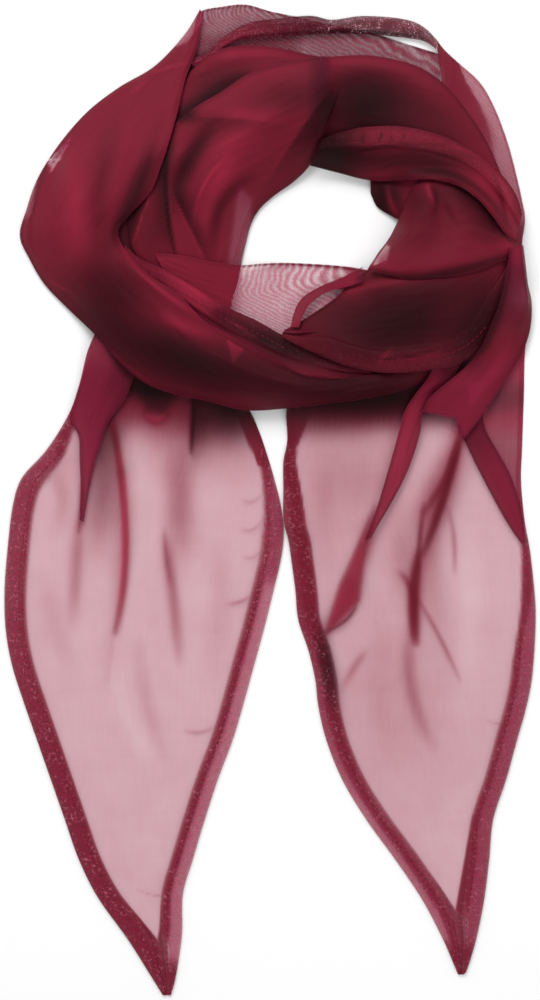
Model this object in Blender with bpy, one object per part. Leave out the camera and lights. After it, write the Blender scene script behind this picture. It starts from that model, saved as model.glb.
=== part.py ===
"""A long chiffon scarf laid flat: wound about twice into a ring, with two pointed tails below it.

The tables are in millimetres and the scene is in metres. +X is to the right and +Y is up the laid scarf,
towards the back of the ring. +Z is away from the table, whose top is Z = 0. The origin is the middle of
the underside. Each stretch of cloth is a wall between two edges. The stretches are laid one on another
in the order of main(), and each rests on what was laid before it.
"""

import math
from collections import namedtuple

import bpy
import numpy as np

# Driving dimensions, in millimetres.
MM = 0.001
WALL = 1.0
GAP = 0.35
HEM_WIDTH = 10.0
HEM_RISE = 0.8
RING_RIM = 1.5
CELL = 9.5

# How the stretches are laid: the grid of heights, in millimetres, and how closely it is kept to.
TABLE_CELL = 1.0
TABLE_HALF_WIDTH = 150.0
TABLE_HALF_LENGTH = 270.0
LATTICE = 10
TAUT_ROUNDS = 5
SETTLING_ROUNDS = 14
# Shares of a section: the step beside a hem, the most that one hem takes, how much rounder than even the
# points of a section lie, and the upward part of a normal below which a wall grows no thicker.
HEM_STEP = 0.04
WIDEST_HEM = 0.40
ROUNDER = 0.65
STEEPEST = 0.5
# The dome across a stretch is an ellipse for 0.5 and a parabola for 1.
DOME_POWER = 0.6

# A section goes across a stretch from its left edge to its right edge. The crown is how far the cloth
# stands up between them.
Section = namedtuple("Section", "left_x left_y right_x right_y crown")
# A fold runs from its start through its middle to its end. A negative height makes it a trough.
Fold = namedtuple("Fold", "start_x start_y middle_x middle_y end_x end_y width height")
# A section of the ring of hidden layers, from the neck opening outwards.
RingSection = namedtuple("RingSection", "inner_x inner_y outer_x outer_y height")

HIDDEN_LAYERS = [
    RingSection(74, 139, 115, 139, 10),
    RingSection(68, 167, 104, 180, 10),
    RingSection(41, 178, 58, 209, 10),
    RingSection(15, 177, 14, 209, 11),
    RingSection(-5, 164, -28, 201, 12),
    RingSection(-21, 147, -75, 184, 13),
    RingSection(-25, 130, -106, 155, 14),
    RingSection(-29, 112, -110, 130, 14),
    RingSection(-29, 98, -96, 106, 13),
    RingSection(-18, 83, -71, 76, 11),
    RingSection(-2, 76, -30, 57, 9),
    RingSection(20, 75, 15, 54, 9),
    RingSection(41, 84, 57, 57, 10),
    RingSection(52, 103, 92, 76, 11),
    RingSection(65, 119, 114, 105, 11),
]

BACK_SHEET = [
    Section(-38.5, 233, -50, 203, 0.0),
    Section(-35.5, 244, -38, 207, 0.5),
    Section(-24, 247, -28, 212, 1.0),
    Section(-12, 248, -12, 212, 1.0),
    Section(1, 244.5, 2, 210, 0.5),
    Section(18, 241, 20, 208, 0.5),
    Section(35, 237, 38, 208, 0.5),
    Section(52, 233.5, 55, 208, 0.5),
    Section(68, 228.5, 69, 204, 0.5),
    Section(85.5, 223, 85.5, 198, 0.5),
]

RIGHT_SHEET = [
    Section(84, 229.5, 83.5, 226.5, 0.3),
    Section(87.5, 225, 85.5, 214, 0.5),
    Section(93.5, 219.5, 86, 199, 1.0),
    Section(105, 209, 91, 187, 1.0),
    Section(112, 197, 98, 177, 1.0),
    Section(118, 181.5, 104, 167, 1.0),
    Section(122, 167.5, 109, 155, 0.8),
    Section(126, 150, 111, 143, 0.6),
    Section(127.5, 140, 112, 134, 0.6),
    Section(126, 127.5, 111, 125, 0.6),
    Section(127.5, 112, 110, 113, 0.6),
    Section(129, 100, 108, 100, 0.6),
    Section(128.5, 88, 104, 88, 0.6),
]

EDGE_ROLL = [
    Section(-40, 221, -38.5, 216, 0.6),
    Section(-32, 223, -29, 220.5, 1.0),
    Section(-27, 228, -22, 226.5, 1.5),
    Section(-20, 233.5, -15, 230, 2.5),
    Section(-10, 238.5, -7, 231, 3.5),
    Section(4, 240.5, 6, 232, 3.5),
    Section(20, 242, 20, 233, 3.0),
    Section(31, 240, 32, 233.5, 3.5),
    Section(45, 242, 46, 233.5, 3.5),
    Section(60, 241.5, 60, 232.5, 3.5),
    Section(71, 239.5, 70, 231.5, 3.0),
    Section(78, 235.5, 77, 230, 2.0),
    Section(84, 229, 83, 226, 0.6),
]

LEFT_TAIL = [
    Section(-86.5, 85, -27, 58, 0.0),
    Section(-91, 74, -15, 51, 1.0),
    Section(-94.5, 60, -10, 44, 1.5),
    Section(-97.5, 50, -6, 35, 1.0),
    Section(-103.5, 37.5, -2.5, 25, 0.5),
    Section(-112.5, 24, 2, 10, 0.0),
    Section(-124, 11, 5, -2.5, 0.0),
    Section(-128.5, -2.5, 6.5, -15, 0.0),
    Section(-131, -22.5, 5.5, -27.5, 0.0),
    Section(-132.7, -45, 1.5, -45, 0.0),
    Section(-132.1, -65, -3.5, -65, 0.0),
    Section(-129, -82.5, -9, -85, 0.0),
    Section(-123.5, -100, -13.5, -101.5, 0.0),
    Section(-116.5, -120, -19, -120, 0.0),
    Section(-109.5, -140, -26.5, -140, 0.0),
    Section(-102.5, -160, -33, -160, 0.0),
    Section(-95.5, -180, -39, -180, 0.0),
    Section(-86, -199, -44, -197.5, 0.0),
    Section(-71, -220, -44.5, -217.5, 0.0),
    Section(-59, -239, -47.5, -238.5, 0.0),
    Section(-53.5, -247.9, -50, -247.9, 0.0),
]
LEFT_TAIL_FOLDS = [
    Fold(-76, 40, -72, -6, -77, -72, 5.0, 4.5),
    Fold(-53, 10, -52, -25, -44, -80, 9.0, 2.5),
    Fold(-39, 46, -38, 34, -40, 14, 4.0, 3.0),
    Fold(-100, 5, -104, -45, -92, -110, 10.0, 1.6),
    Fold(-20, 20, -16, -20, -26, -70, 9.0, 1.8),
]

LEFT_TAIL_FLAP = [
    Section(-87, 83, -66, 65, 0.5),
    Section(-91, 74, -69.5, 58, 2.0),
    Section(-94.5, 60, -73, 50, 2.5),
    Section(-97.5, 50, -79, 42, 2.0),
    Section(-100, 40.5, -82.5, 36, 1.2),
    Section(-95.5, 32, -85, 28, 1.0),
    Section(-95, 20, -88, 18, 1.0),
    Section(-94.5, 5, -91, 4, 0.8),
    Section(-95, -10, -93.5, -11, 0.3),
]

RIGHT_TAIL = [
    Section(15, 62, 122, 82, 0.0),
    Section(11, 53, 126, 69, 1.0),
    Section(8.5, 44, 126.5, 55, 1.5),
    Section(9, 30, 126.5, 40, 1.0),
    Section(7, 19, 126, 25, 0.5),
    Section(7, 5, 125.5, 10, 0.0),
    Section(7, -10, 127, -8, 0.0),
    Section(9.5, -20, 129, -20, 0.0),
    Section(11, -30, 130.5, -30, 0.0),
    Section(13, -45, 132.5, -50, 0.0),
    Section(14.5, -60, 132.7, -62, 0.0),
    Section(19.5, -75, 132, -77, 0.0),
    Section(23, -90, 130.5, -92, 0.0),
    Section(24.5, -103, 127.5, -106, 0.0),
    Section(28.5, -120, 123.5, -120, 0.0),
    Section(36.5, -140, 118, -140, 0.0),
    Section(48.5, -160, 111.5, -160, 0.0),
    Section(63, -180, 109.5, -180, 0.0),
    Section(76.5, -200, 107, -200, 0.0),
    Section(87, -220, 103, -220, 0.0),
    Section(93, -234, 98.5, -235, 0.0),
    Section(94.5, -237.5, 97, -237.5, 0.0),
]
RIGHT_TAIL_FOLDS = [
    Fold(50, -10, 42, -40, 30, -66, 6.0, 4.0),
    Fold(95, 28, 84, 0, 76, -28, 7.0, 4.0),
    Fold(78, -5, 78, -42, 98, -92, 7.0, 4.5),
    Fold(93, 15, 91, -2, 92, -20, 6.0, 2.5),
    Fold(46, -70, 40, -95, 42, -120, 9.0, 1.6),
    Fold(112, -40, 108, -85, 98, -140, 10.0, 1.6),
]

DIAGONAL_FOLD = [
    Section(94, 37, 106, 45, 0.5),
    Section(97.5, 30, 107.5, 35.5, 2.0),
    Section(103.5, 17.5, 114, 23.5, 2.5),
    Section(110, 5, 120, 12.5, 2.5),
    Section(116.5, -7, 124, 1, 2.0),
    Section(122, -16, 126, -8, 1.2),
    Section(126.3, -22, 127.5, -18, 0.4),
]

BACK_LOOP = [
    Section(-40, 214, -52, 185, 1.0),
    Section(-32, 221, -38, 184, 2.0),
    Section(-22, 225.5, -25, 190, 3.0),
    Section(-10, 227, -12, 196, 3.0),
    Section(5, 225.5, 2, 201, 3.0),
    Section(20, 222, 17, 203, 2.0),
    Section(35, 219.5, 32, 205, 1.0),
]

BACK_BAND = [
    Section(20, 219, 12, 190, 1.0),
    Section(35, 221, 25, 183, 2.0),
    Section(50, 221.5, 38, 176, 2.0),
    Section(65, 219, 53, 171, 2.0),
    Section(76, 215, 66, 169, 2.0),
    Section(86, 208, 78, 166, 2.0),
    Section(96, 196.5, 87, 161, 2.0),
    Section(104, 185, 94, 154, 2.0),
    Section(110, 174, 101, 147, 1.5),
    Section(115, 162.5, 106, 139, 1.0),
]

INNER_BAND = [
    Section(41, 221, 36, 206, 2.0),
    Section(28, 220.5, 29.5, 189, 3.5),
    Section(12.5, 218, 24.5, 176, 4.5),
    Section(-1, 215, 19, 166.5, 5.0),
    Section(-12.5, 210.5, 11, 159, 5.5),
    Section(-24, 202.5, 3, 153.5, 6.0),
    Section(-35, 196, -4, 147.5, 6.0),
    Section(-46, 188, -8, 142, 6.0),
    Section(-55, 177, -10.5, 136, 6.0),
    Section(-63, 163, -12, 130, 5.5),
    Section(-68, 148, -13.5, 124, 5.0),
    Section(-70, 134, -15, 117, 4.0),
    Section(-66, 121, -16.5, 109, 3.0),
    Section(-57, 111, -20, 100, 2.0),
    Section(-46, 103, -24, 94, 1.0),
]
INNER_BAND_FOLDS = [
    Fold(-14, 171, -28, 156, -36, 134, 5.0, 2.5),
    Fold(-51, 176, -50, 158, -47, 125, 4.0, 2.5),
    Fold(-44, 160, -40, 145, -31, 121, 3.5, -2.5),
    Fold(30, 205, 27, 190, 17, 170, 5.0, 2.5),
    Fold(-20, 196, 5, 188, 24, 196, 7.0, 2.0),
]

HOLE_SHEET = [
    Section(-57, 122, -50, 108, 0.3),
    Section(-45, 121, -37.5, 98, 0.3),
    Section(-31, 118.5, -24, 88, 0.3),
    Section(-15, 117, -12.5, 80, 0.3),
    Section(-4, 118, 0, 74, 0.2),
    Section(7.5, 118.5, 15, 71, 0.0),
    Section(21, 118, 27.5, 74, 0.0),
    Section(35, 117, 40, 84, 0.0),
    Section(46, 115.5, 49, 97, 0.0),
    Section(54, 113.5, 57, 105, 0.0),
]

FRONT_UNDER = [
    Section(-72, 126, -74, 113, 0.5),
    Section(-64, 119, -60, 101, 1.0),
    Section(-50, 112.5, -47.5, 90, 1.5),
    Section(-35, 103.5, -32.5, 78, 1.5),
    Section(-21, 95.5, -17.5, 68, 1.5),
    Section(-7.5, 89.5, -2.5, 61, 1.5),
    Section(5, 82.5, 10, 56, 1.5),
    Section(17.5, 76, 25, 54.5, 1.5),
    Section(32.5, 70, 40, 55, 1.0),
    Section(47.5, 67, 55, 57, 0.5),
]

FRONT_BAND = [
    Section(-35, 245, -33.5, 243, 0.5),
    Section(-42.5, 233, -35, 234, 1.5),
    Section(-57.5, 217.5, -37.5, 224, 3.0),
    Section(-75, 207, -42.5, 210, 4.0),
    Section(-89, 196.5, -46, 194, 5.0),
    Section(-100, 185, -49.5, 180, 6.0),
    Section(-110, 171.5, -53.5, 167, 7.0),
    Section(-117, 159, -59, 153, 7.5),
    Section(-121.5, 146, -68, 143, 8.0),
    Section(-125, 132.5, -75, 135, 8.0),
    Section(-120, 120.5, -74.5, 128, 8.0),
    Section(-112.5, 108, -69.5, 120.5, 7.5),
    Section(-101, 96, -60, 111, 7.0),
    Section(-87.5, 83, -45, 101, 7.0),
    Section(-75, 69, -34, 89.5, 6.5),
    Section(-62, 58.5, -23, 83, 6.0),
    Section(-47.5, 53, -13.5, 77.5, 6.0),
    Section(-31, 49.5, -4, 72, 5.5),
    Section(-12, 45, 6.5, 66.5, 5.0),
    Section(9, 46, 18, 61.5, 4.5),
    Section(31, 48.5, 32.5, 60, 4.0),
    Section(52, 51.5, 52, 62, 3.0),
    Section(70, 56.5, 68, 65, 2.0),
    Section(80, 62, 78, 69, 1.0),
]
FRONT_BAND_FOLDS = [
    Fold(-84, 188, -93, 140, -80, 100, 9.0, 3.0),
    Fold(-62, 200, -66, 175, -74, 150, 6.0, -2.0),
    Fold(-110, 110, -90, 90, -62, 74, 7.0, -2.0),
    Fold(-70, 84, -30, 68, 20, 56, 6.0, 2.0),
]

LOWER_FOLD = [
    Section(84, 72, 96, 71, 0.5),
    Section(79, 61, 91, 61, 2.0),
    Section(73, 53, 82, 53, 2.5),
    Section(68, 45, 76, 44, 3.0),
    Section(65, 35, 75, 35, 3.0),
    Section(62, 24, 72, 24, 3.0),
    Section(58, 10, 67, 11, 3.0),
    Section(53, -6, 59, -4, 2.5),
    Section(47.5, -20, 50, -19, 1.0),
]

KNOT = [
    Section(50.5, 164, 50.5, 154, 1.5),
    Section(55, 164, 53.5, 147.5, 3.0),
    Section(61, 164, 60, 143, 3.5),
    Section(67.5, 164, 66, 140.5, 3.0),
    Section(75, 164, 75, 142, 1.5),
]

COWL = [
    Section(7, 84.5, 5.5, 81.5, 0.5),
    Section(13, 87.5, 15, 76.5, 1.5),
    Section(22.5, 93.5, 26, 71.5, 3.0),
    Section(32.5, 100.5, 39, 66.5, 4.0),
    Section(41, 108.5, 54, 63.5, 5.0),
    Section(51, 116, 67.5, 63.5, 6.0),
    Section(63, 121, 80, 65, 6.5),
    Section(78, 124, 91, 67, 6.5),
    Section(92, 126, 100, 72, 6.0),
    Section(104, 127, 109, 82, 5.0),
    Section(113, 127, 115, 97.5, 3.5),
    Section(118.5, 124, 119, 114, 1.5),
]

ROLLED_EDGE = [
    Section(48, 117, 54, 111, 0.6),
    Section(37.5, 111.5, 40, 107, 1.0),
    Section(27.5, 107.5, 29, 104.5, 1.2),
    Section(19, 103, 22.5, 100.5, 1.5),
    Section(14.5, 98.5, 18.5, 96.5, 1.5),
    Section(12, 92.5, 16, 91.5, 1.5),
    Section(10.5, 86, 14, 86, 1.0),
]

TWIST = [
    Section(54, 123.5, 49, 114.8, 1.0),
    Section(60, 131.5, 55, 113, 3.0),
    Section(65.5, 143, 63, 110.5, 5.0),
    Section(71, 156, 72.5, 109.5, 7.0),
    Section(81, 162, 82.5, 110, 8.0),
    Section(92.5, 158, 94, 111.5, 7.5),
    Section(103, 152, 105, 114.5, 6.0),
    Section(112, 142, 115, 119, 4.0),
    Section(118.5, 134, 121, 122.5, 2.0),
    Section(122.5, 128.5, 124, 125.5, 0.5),
]
TWIST_FOLDS = [
    Fold(75, 158, 73, 138, 62, 118, 6.0, 3.0),
    Fold(88, 150, 100, 138, 117, 130, 6.0, 2.0),
    Fold(84, 150, 84, 135, 80, 115, 5.0, -2.5),
]

COLLAR = [
    Section(28.5, 179.5, 21.5, 166.5, 1.0),
    Section(37.5, 183, 35, 163.5, 2.0),
    Section(49, 185, 50, 160, 3.0),
    Section(65, 185, 65, 159.5, 4.0),
    Section(80, 182, 80, 159, 4.5),
    Section(94, 176.5, 92.5, 156, 5.0),
    Section(106, 169, 102.5, 149.5, 5.0),
    Section(116, 160.5, 110, 141, 4.0),
    Section(123, 151, 117, 132, 2.5),
    Section(125.7, 142, 122, 128.5, 1.0),
]

SHOULDER = [
    Section(119.5, 125, 125.5, 126.5, 0.5),
    Section(117.5, 112.5, 128, 110, 1.5),
    Section(115, 100, 130.5, 99, 2.5),
    Section(111, 89, 130, 86.5, 3.5),
    Section(106, 77.5, 126.5, 75, 4.0),
    Section(100, 68.5, 120, 63.5, 4.0),
    Section(91, 60.5, 114, 54.5, 4.0),
    Section(81.5, 52.5, 108, 45.5, 3.5),
    Section(78, 48, 104, 40, 2.5),
    Section(76.5, 44, 97, 31, 1.0),
]

# Colour (linear red, green, blue) of each kind of stretch.
SINGLE_LAYER = (0.50, 0.20, 0.24)
TWO_LAYERS = (0.30, 0.055, 0.085)
MANY_LAYERS = (0.17, 0.022, 0.042)
SHADED_LAYERS = (0.08, 0.012, 0.020)


def between_rows(rows, steps):
    """Rows of numbers on a smooth curve (Catmull-Rom) through the given ones, steps of them to a row."""
    rows = np.array(rows, dtype=float)
    last = len(rows) - 1
    result = []
    for step in range(last * steps + 1):
        at = min(step // steps, last - 1)
        t = step / steps - at
        before, here, there, after = (rows[min(max(at + k, 0), last)] for k in (-1, 0, 1, 2))
        result.append(
            0.5
            * (
                2 * here
                + (there - before) * t
                + (2 * before - 5 * here + 4 * there - after) * t**2
                + (3 * here - before - 3 * there + after) * t**3
            )
        )
    return np.array(result)


def evenly(rows, cell):
    """The same curve as between_rows, read at even distances of about cell along its middle."""
    fine = between_rows(rows, 12)
    middle = (fine[:, 0:2] + fine[:, 2:4]) / 2
    run = np.concatenate([[0.0], np.cumsum(np.linalg.norm(np.diff(middle, axis=0), axis=1))])
    count = max(3, round(run[-1] / cell)) + 1
    wanted = np.linspace(0.0, run[-1], count)
    return np.stack([np.interp(wanted, run, column) for column in fine.T], axis=1)


class Laid:
    """The height of all that has been laid, on a square grid over the table."""

    def __init__(self):
        across = int(2 * TABLE_HALF_WIDTH / TABLE_CELL) + 1
        along = int(2 * TABLE_HALF_LENGTH / TABLE_CELL) + 1
        self.height = np.full((across, along), -GAP)
        corner = range(LATTICE + 1)
        self.weights = np.array(
            [(i, j, LATTICE - i - j) for i in corner for j in corner if i + j <= LATTICE]
        ) / float(LATTICE)

    def cells(self, points):
        """The grid cell under each point."""
        at_x = np.round((points[..., 0] + TABLE_HALF_WIDTH) / TABLE_CELL).astype(int)
        at_y = np.round((points[..., 1] + TABLE_HALF_LENGTH) / TABLE_CELL).astype(int)
        return at_x, at_y

    def samples(self, points, triangles):
        """Points spread over each triangle."""
        return np.einsum("sk,tkc->tsc", self.weights, points[triangles])

    def under(self, points):
        """The height at each point."""
        return self.height[self.cells(points)]

    def shortfall(self, points, triangles):
        """How far each triangle would have to rise to clear what is laid."""
        spread = self.samples(points, triangles)
        return (self.under(spread) + GAP - spread[..., 2]).max(axis=1)

    def add(self, points, triangles):
        """Lays a surface, widened by one cell so that slopes between cells stay covered."""
        spread = self.samples(points, triangles).reshape(-1, 3)
        layer = np.full_like(self.height, -1000.0)
        np.maximum.at(layer, self.cells(spread), spread[:, 2])
        grown = layer.copy()
        for step_x in (-1, 0, 1):
            for step_y in (-1, 0, 1):
                grown = np.maximum(grown, np.roll(layer, (step_x, step_y), axis=(0, 1)))
        self.height = np.maximum(self.height, grown)


def grid_triangles(rows, columns):
    """Two triangles to each cell of a grid of points, facing up where the columns lie left of the run."""
    at = np.arange(rows * columns).reshape(rows, columns)
    a, b, c, d = at[:-1, :-1], at[:-1, 1:], at[1:, 1:], at[1:, :-1]
    return np.concatenate(
        [np.stack([a, d, c], -1).reshape(-1, 3), np.stack([a, c, b], -1).reshape(-1, 3)]
    )


def fold_height(fold, points):
    """How far a fold raises each point: most along its middle line, fading to its sides and ends."""
    start = np.array([fold.start_x, fold.start_y])
    middle = np.array([fold.middle_x, fold.middle_y])
    end = np.array([fold.end_x, fold.end_y])
    control = 2 * middle - (start + end) / 2
    t = np.linspace(0.0, 1.0, 25)[:, None]
    line = (1 - t) ** 2 * start + 2 * t * (1 - t) * control + t**2 * end
    away = np.linalg.norm(points[..., None, :2] - line, axis=-1)
    nearest = away.argmin(axis=-1)
    fade = np.sin(np.pi * (0.08 + 0.84 * t[nearest, 0]))
    return fold.height * fade * np.exp(-((away.min(axis=-1) / fold.width) ** 2))


def taut(floor):
    """Cloth pulled gently over a floor of heights: it bridges hollows and never goes below the floor."""
    height = floor.copy()
    for _ in range(TAUT_ROUNDS):
        padded = np.pad(height, 1, mode="edge")
        around = padded[:-2, 1:-1] + padded[2:, 1:-1] + padded[1:-1, :-2] + padded[1:-1, 2:]
        height = np.maximum(floor, around / 4)
    return height


def stations(cells, left_hem, right_hem):
    """Where the points of a section lie, from 0 at its left edge to 1 at its right, without its hems."""
    even = np.linspace(0.0, 1.0, cells + 1)
    rounded = 0.5 - 0.5 * np.cos(np.pi * even)
    if left_hem and right_hem:
        return even
    if left_hem:
        return np.where(even < 0.5, even, rounded)
    if right_hem:
        return np.where(even > 0.5, even, rounded)
    return (1 - ROUNDER) * even + ROUNDER * rounded


def section_points(rows, cells, left_hem, right_hem):
    """Plan points of a stretch, with how far across each lies and how much its hem thickens it."""
    left, right = rows[:, 0:2], rows[:, 2:4]
    across = right - left
    width = np.linalg.norm(across, axis=1)
    inner = stations(cells, left_hem, right_hem)
    share, rise = [], []
    for row in range(len(rows)):
        near = slice(max(row - 1, 0), row + 2)
        hems = []
        for edge in (left, right):
            run = edge[near][-1] - edge[near][0]
            slant = abs(run[0] * across[row, 1] - run[1] * across[row, 0])
            slant /= max(np.linalg.norm(run) * width[row], 1e-6)
            hems.append(min(HEM_WIDTH / max(width[row] * slant, 1e-6), WIDEST_HEM))
        start = hems[0] if left_hem else 0.0
        stop = 1.0 - (hems[1] if right_hem else 0.0)
        step = HEM_STEP * (stop - start)
        line = list(start + (stop - start) * inner)
        thick = [0.0] * len(line)
        if left_hem:
            line = [0.0, start] + [start + step] + line[1:]
            thick = [HEM_RISE, HEM_RISE] + thick
        if right_hem:
            line = line[:-1] + [stop - step, stop, 1.0]
            thick = thick + [HEM_RISE, HEM_RISE]
        share.append(line)
        rise.append(thick)
    share, rise = np.array(share), np.array(rise)
    plan = left[:, None] + across[:, None] * share[..., None]
    return plan, share, rise


def upright_share(points, triangles):
    """The upward part of the unit normal at each point, limited so that steep walls don't grow long."""
    a, b, c = (points[triangles[:, k]] for k in range(3))
    face = np.cross(b - a, c - a)
    normal = np.zeros_like(points)
    for corner in range(3):
        np.add.at(normal, triangles[:, corner], face)
    length = np.maximum(np.linalg.norm(normal, axis=1), 1e-9)
    return np.maximum(normal[:, 2] / length, STEEPEST)


def cloth_material(name, colour):
    """A plain cloth finish for one stretch."""
    material = bpy.data.materials.new(name)
    material.use_nodes = True
    shader = material.node_tree.nodes["Principled BSDF"]
    shader.inputs["Base Color"].default_value = (*colour, 1.0)
    shader.inputs["Roughness"].default_value = 0.6
    shader.inputs["Metallic"].default_value = 0.0
    material.diffuse_color = (*colour, 1.0)
    return material


def add_object(name, points, faces, colour):
    """One closed solid of points in millimetres."""
    mesh = bpy.data.meshes.new(name)
    mesh.from_pydata([tuple(point * MM) for point in points], [], [tuple(map(int, f)) for f in faces])
    mesh.materials.append(cloth_material(name + "_cloth", colour))
    mesh.shade_smooth()
    mesh.set_sharp_from_angle(angle=math.radians(50))
    mesh.update()
    made = bpy.data.objects.new(name, mesh)
    bpy.context.scene.collection.objects.link(made)
    return made


def rim_triangles(rows, columns):
    """Triangles that close a wall round the border of its grid, from the top points to the bottom ones."""
    at = np.arange(rows * columns).reshape(rows, columns)
    border = list(at[0, :]) + list(at[1:, -1]) + list(at[-1, -2::-1]) + list(at[-2:0:-1, 0])
    below = rows * columns
    faces = []
    for here, there in zip(border, border[1:] + border[:1]):
        faces.append((here, there, there + below))
        faces.append((here, there + below, here + below))
    return np.array(faces)


def lay_stretch(laid, name, sections, cells, colour, hems=(False, False), folds=(), cell=CELL):
    """Lays one stretch on what is already there, as a closed wall of cloth."""
    rows = evenly(sections, cell)
    plan, share, rise = section_points(rows, cells, *hems)
    count, columns = share.shape
    triangles = grid_triangles(count, columns)
    rim = rim_triangles(count, columns)
    corners = plan.reshape(-1, 2)[triangles]
    side_a, side_b = corners[:, 1] - corners[:, 0], corners[:, 2] - corners[:, 0]
    if (side_a[:, 0] * side_b[:, 1] - side_a[:, 1] * side_b[:, 0]).sum() < 0:
        triangles, rim = triangles[:, ::-1], rim[:, ::-1]
    dome = (1 - np.clip(2 * share - 1, -1, 1) ** 2) ** DOME_POWER
    relief = rows[:, 4][:, None] * dome
    for fold in folds:
        relief = relief + fold_height(fold, plan)
    points = np.dstack([plan, np.zeros_like(share)]).reshape(-1, 3)
    floor = (laid.under(points) + GAP).reshape(count, columns)
    points[:, 2] = (taut(floor) + np.maximum(relief, 0.0)).ravel()
    for _ in range(SETTLING_ROUNDS):
        short = np.maximum(laid.shortfall(points, triangles), 0.0)
        lift = np.zeros(len(points))
        for corner in range(3):
            np.maximum.at(lift, triangles[:, corner], short)
        points[:, 2] += lift
    top = points.copy()
    top[:, 2] += WALL / upright_share(points, triangles) + rise.ravel()
    laid.add(top, triangles)
    faces = np.concatenate([triangles, triangles[:, ::-1] + len(top), rim])
    return add_object(name, np.concatenate([top, points]), faces, colour)


def lay_hidden_layers(laid):
    """The layers that nothing shows, as one rounded ring with a flat underside."""
    steps = 3
    looped = HIDDEN_LAYERS[-1:] + HIDDEN_LAYERS + HIDDEN_LAYERS[:2]
    rows = between_rows(looped, steps)[steps : steps * (1 + len(HIDDEN_LAYERS))]
    shares = 0.5 - 0.5 * np.cos(np.pi * np.linspace(0.0, 1.0, 9))
    points = []
    for inner_x, inner_y, outer_x, outer_y, height in rows:
        for share in shares:
            rounded = math.sqrt(max(0.0, 1 - (2 * share - 1) ** 2))
            x = inner_x + (outer_x - inner_x) * share
            y = inner_y + (outer_y - inner_y) * share
            points.append((x, y, RING_RIM + (height - RING_RIM) * rounded))
        points.append((outer_x, outer_y, 0.0))
        points.append((inner_x, inner_y, 0.0))
    points = np.array(points)
    around = len(shares) + 2
    faces = []
    for row in range(len(rows)):
        following = (row + 1) % len(rows)
        for corner in range(around):
            beside = (corner + 1) % around
            a, b = row * around + corner, row * around + beside
            c, d = following * around + beside, following * around + corner
            faces.append((a, b, c))
            faces.append((a, c, d))
    faces = np.array(faces)
    laid.add(points, faces)
    return add_object("hidden_layers", points, faces, SHADED_LAYERS)


def main():
    for stale in list(bpy.data.objects):
        bpy.data.objects.remove(stale, do_unlink=True)
    laid = Laid()
    hem_left, hem_right, hem_both = (True, False), (False, True), (True, True)
    lay_hidden_layers(laid)
    lay_stretch(laid, "back_sheet", BACK_SHEET, 4, SINGLE_LAYER)
    lay_stretch(laid, "right_sheet", RIGHT_SHEET, 4, SINGLE_LAYER)
    lay_stretch(laid, "edge_roll", EDGE_ROLL, 4, MANY_LAYERS, cell=7.0)
    lay_stretch(laid, "left_tail", LEFT_TAIL, 10, SINGLE_LAYER, hem_both, LEFT_TAIL_FOLDS)
    lay_stretch(laid, "right_tail", RIGHT_TAIL, 10, SINGLE_LAYER, hem_both, RIGHT_TAIL_FOLDS)
    lay_stretch(laid, "left_tail_flap", LEFT_TAIL_FLAP, 4, TWO_LAYERS)
    lay_stretch(laid, "diagonal_fold", DIAGONAL_FOLD, 4, TWO_LAYERS)
    lay_stretch(laid, "back_loop", BACK_LOOP, 4, MANY_LAYERS)
    lay_stretch(laid, "back_band", BACK_BAND, 5, SHADED_LAYERS)
    lay_stretch(laid, "inner_band", INNER_BAND, 8, MANY_LAYERS, folds=INNER_BAND_FOLDS)
    lay_stretch(laid, "hole_sheet", HOLE_SHEET, 5, SINGLE_LAYER)
    lay_stretch(laid, "front_under", FRONT_UNDER, 4, MANY_LAYERS, hem_left)
    lay_stretch(laid, "front_band", FRONT_BAND, 8, TWO_LAYERS, folds=FRONT_BAND_FOLDS)
    lay_stretch(laid, "knot", KNOT, 5, SHADED_LAYERS, cell=6.0)
    lay_stretch(laid, "lower_fold", LOWER_FOLD, 4, TWO_LAYERS)
    lay_stretch(laid, "cowl", COWL, 6, SHADED_LAYERS, hem_right)
    lay_stretch(laid, "rolled_edge", ROLLED_EDGE, 3, TWO_LAYERS, cell=6.0)
    lay_stretch(laid, "twist", TWIST, 6, TWO_LAYERS, folds=TWIST_FOLDS, cell=8.0)
    lay_stretch(laid, "collar", COLLAR, 5, MANY_LAYERS, hem_left)
    lay_stretch(laid, "shoulder", SHOULDER, 4, TWO_LAYERS)


main()
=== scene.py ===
"""A chiffon scarf laid flat: wound about twice into a ring, with two pointed hemmed tails below it.

The tables are in millimetres and the scene is in metres. +X is to the right and +Y is up the laid scarf.
Each stretch of cloth goes from its left edge to its right edge. It is laid on the stretches before it,
in the order of STRETCHES, and its sheet then follows the laid form with its own creases and hems.
"""

import math
from collections import namedtuple

import bmesh
import bpy
import numpy as np
from bpy.props import FloatProperty, FloatVectorProperty, PointerProperty
from mathutils import Matrix, Vector


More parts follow.
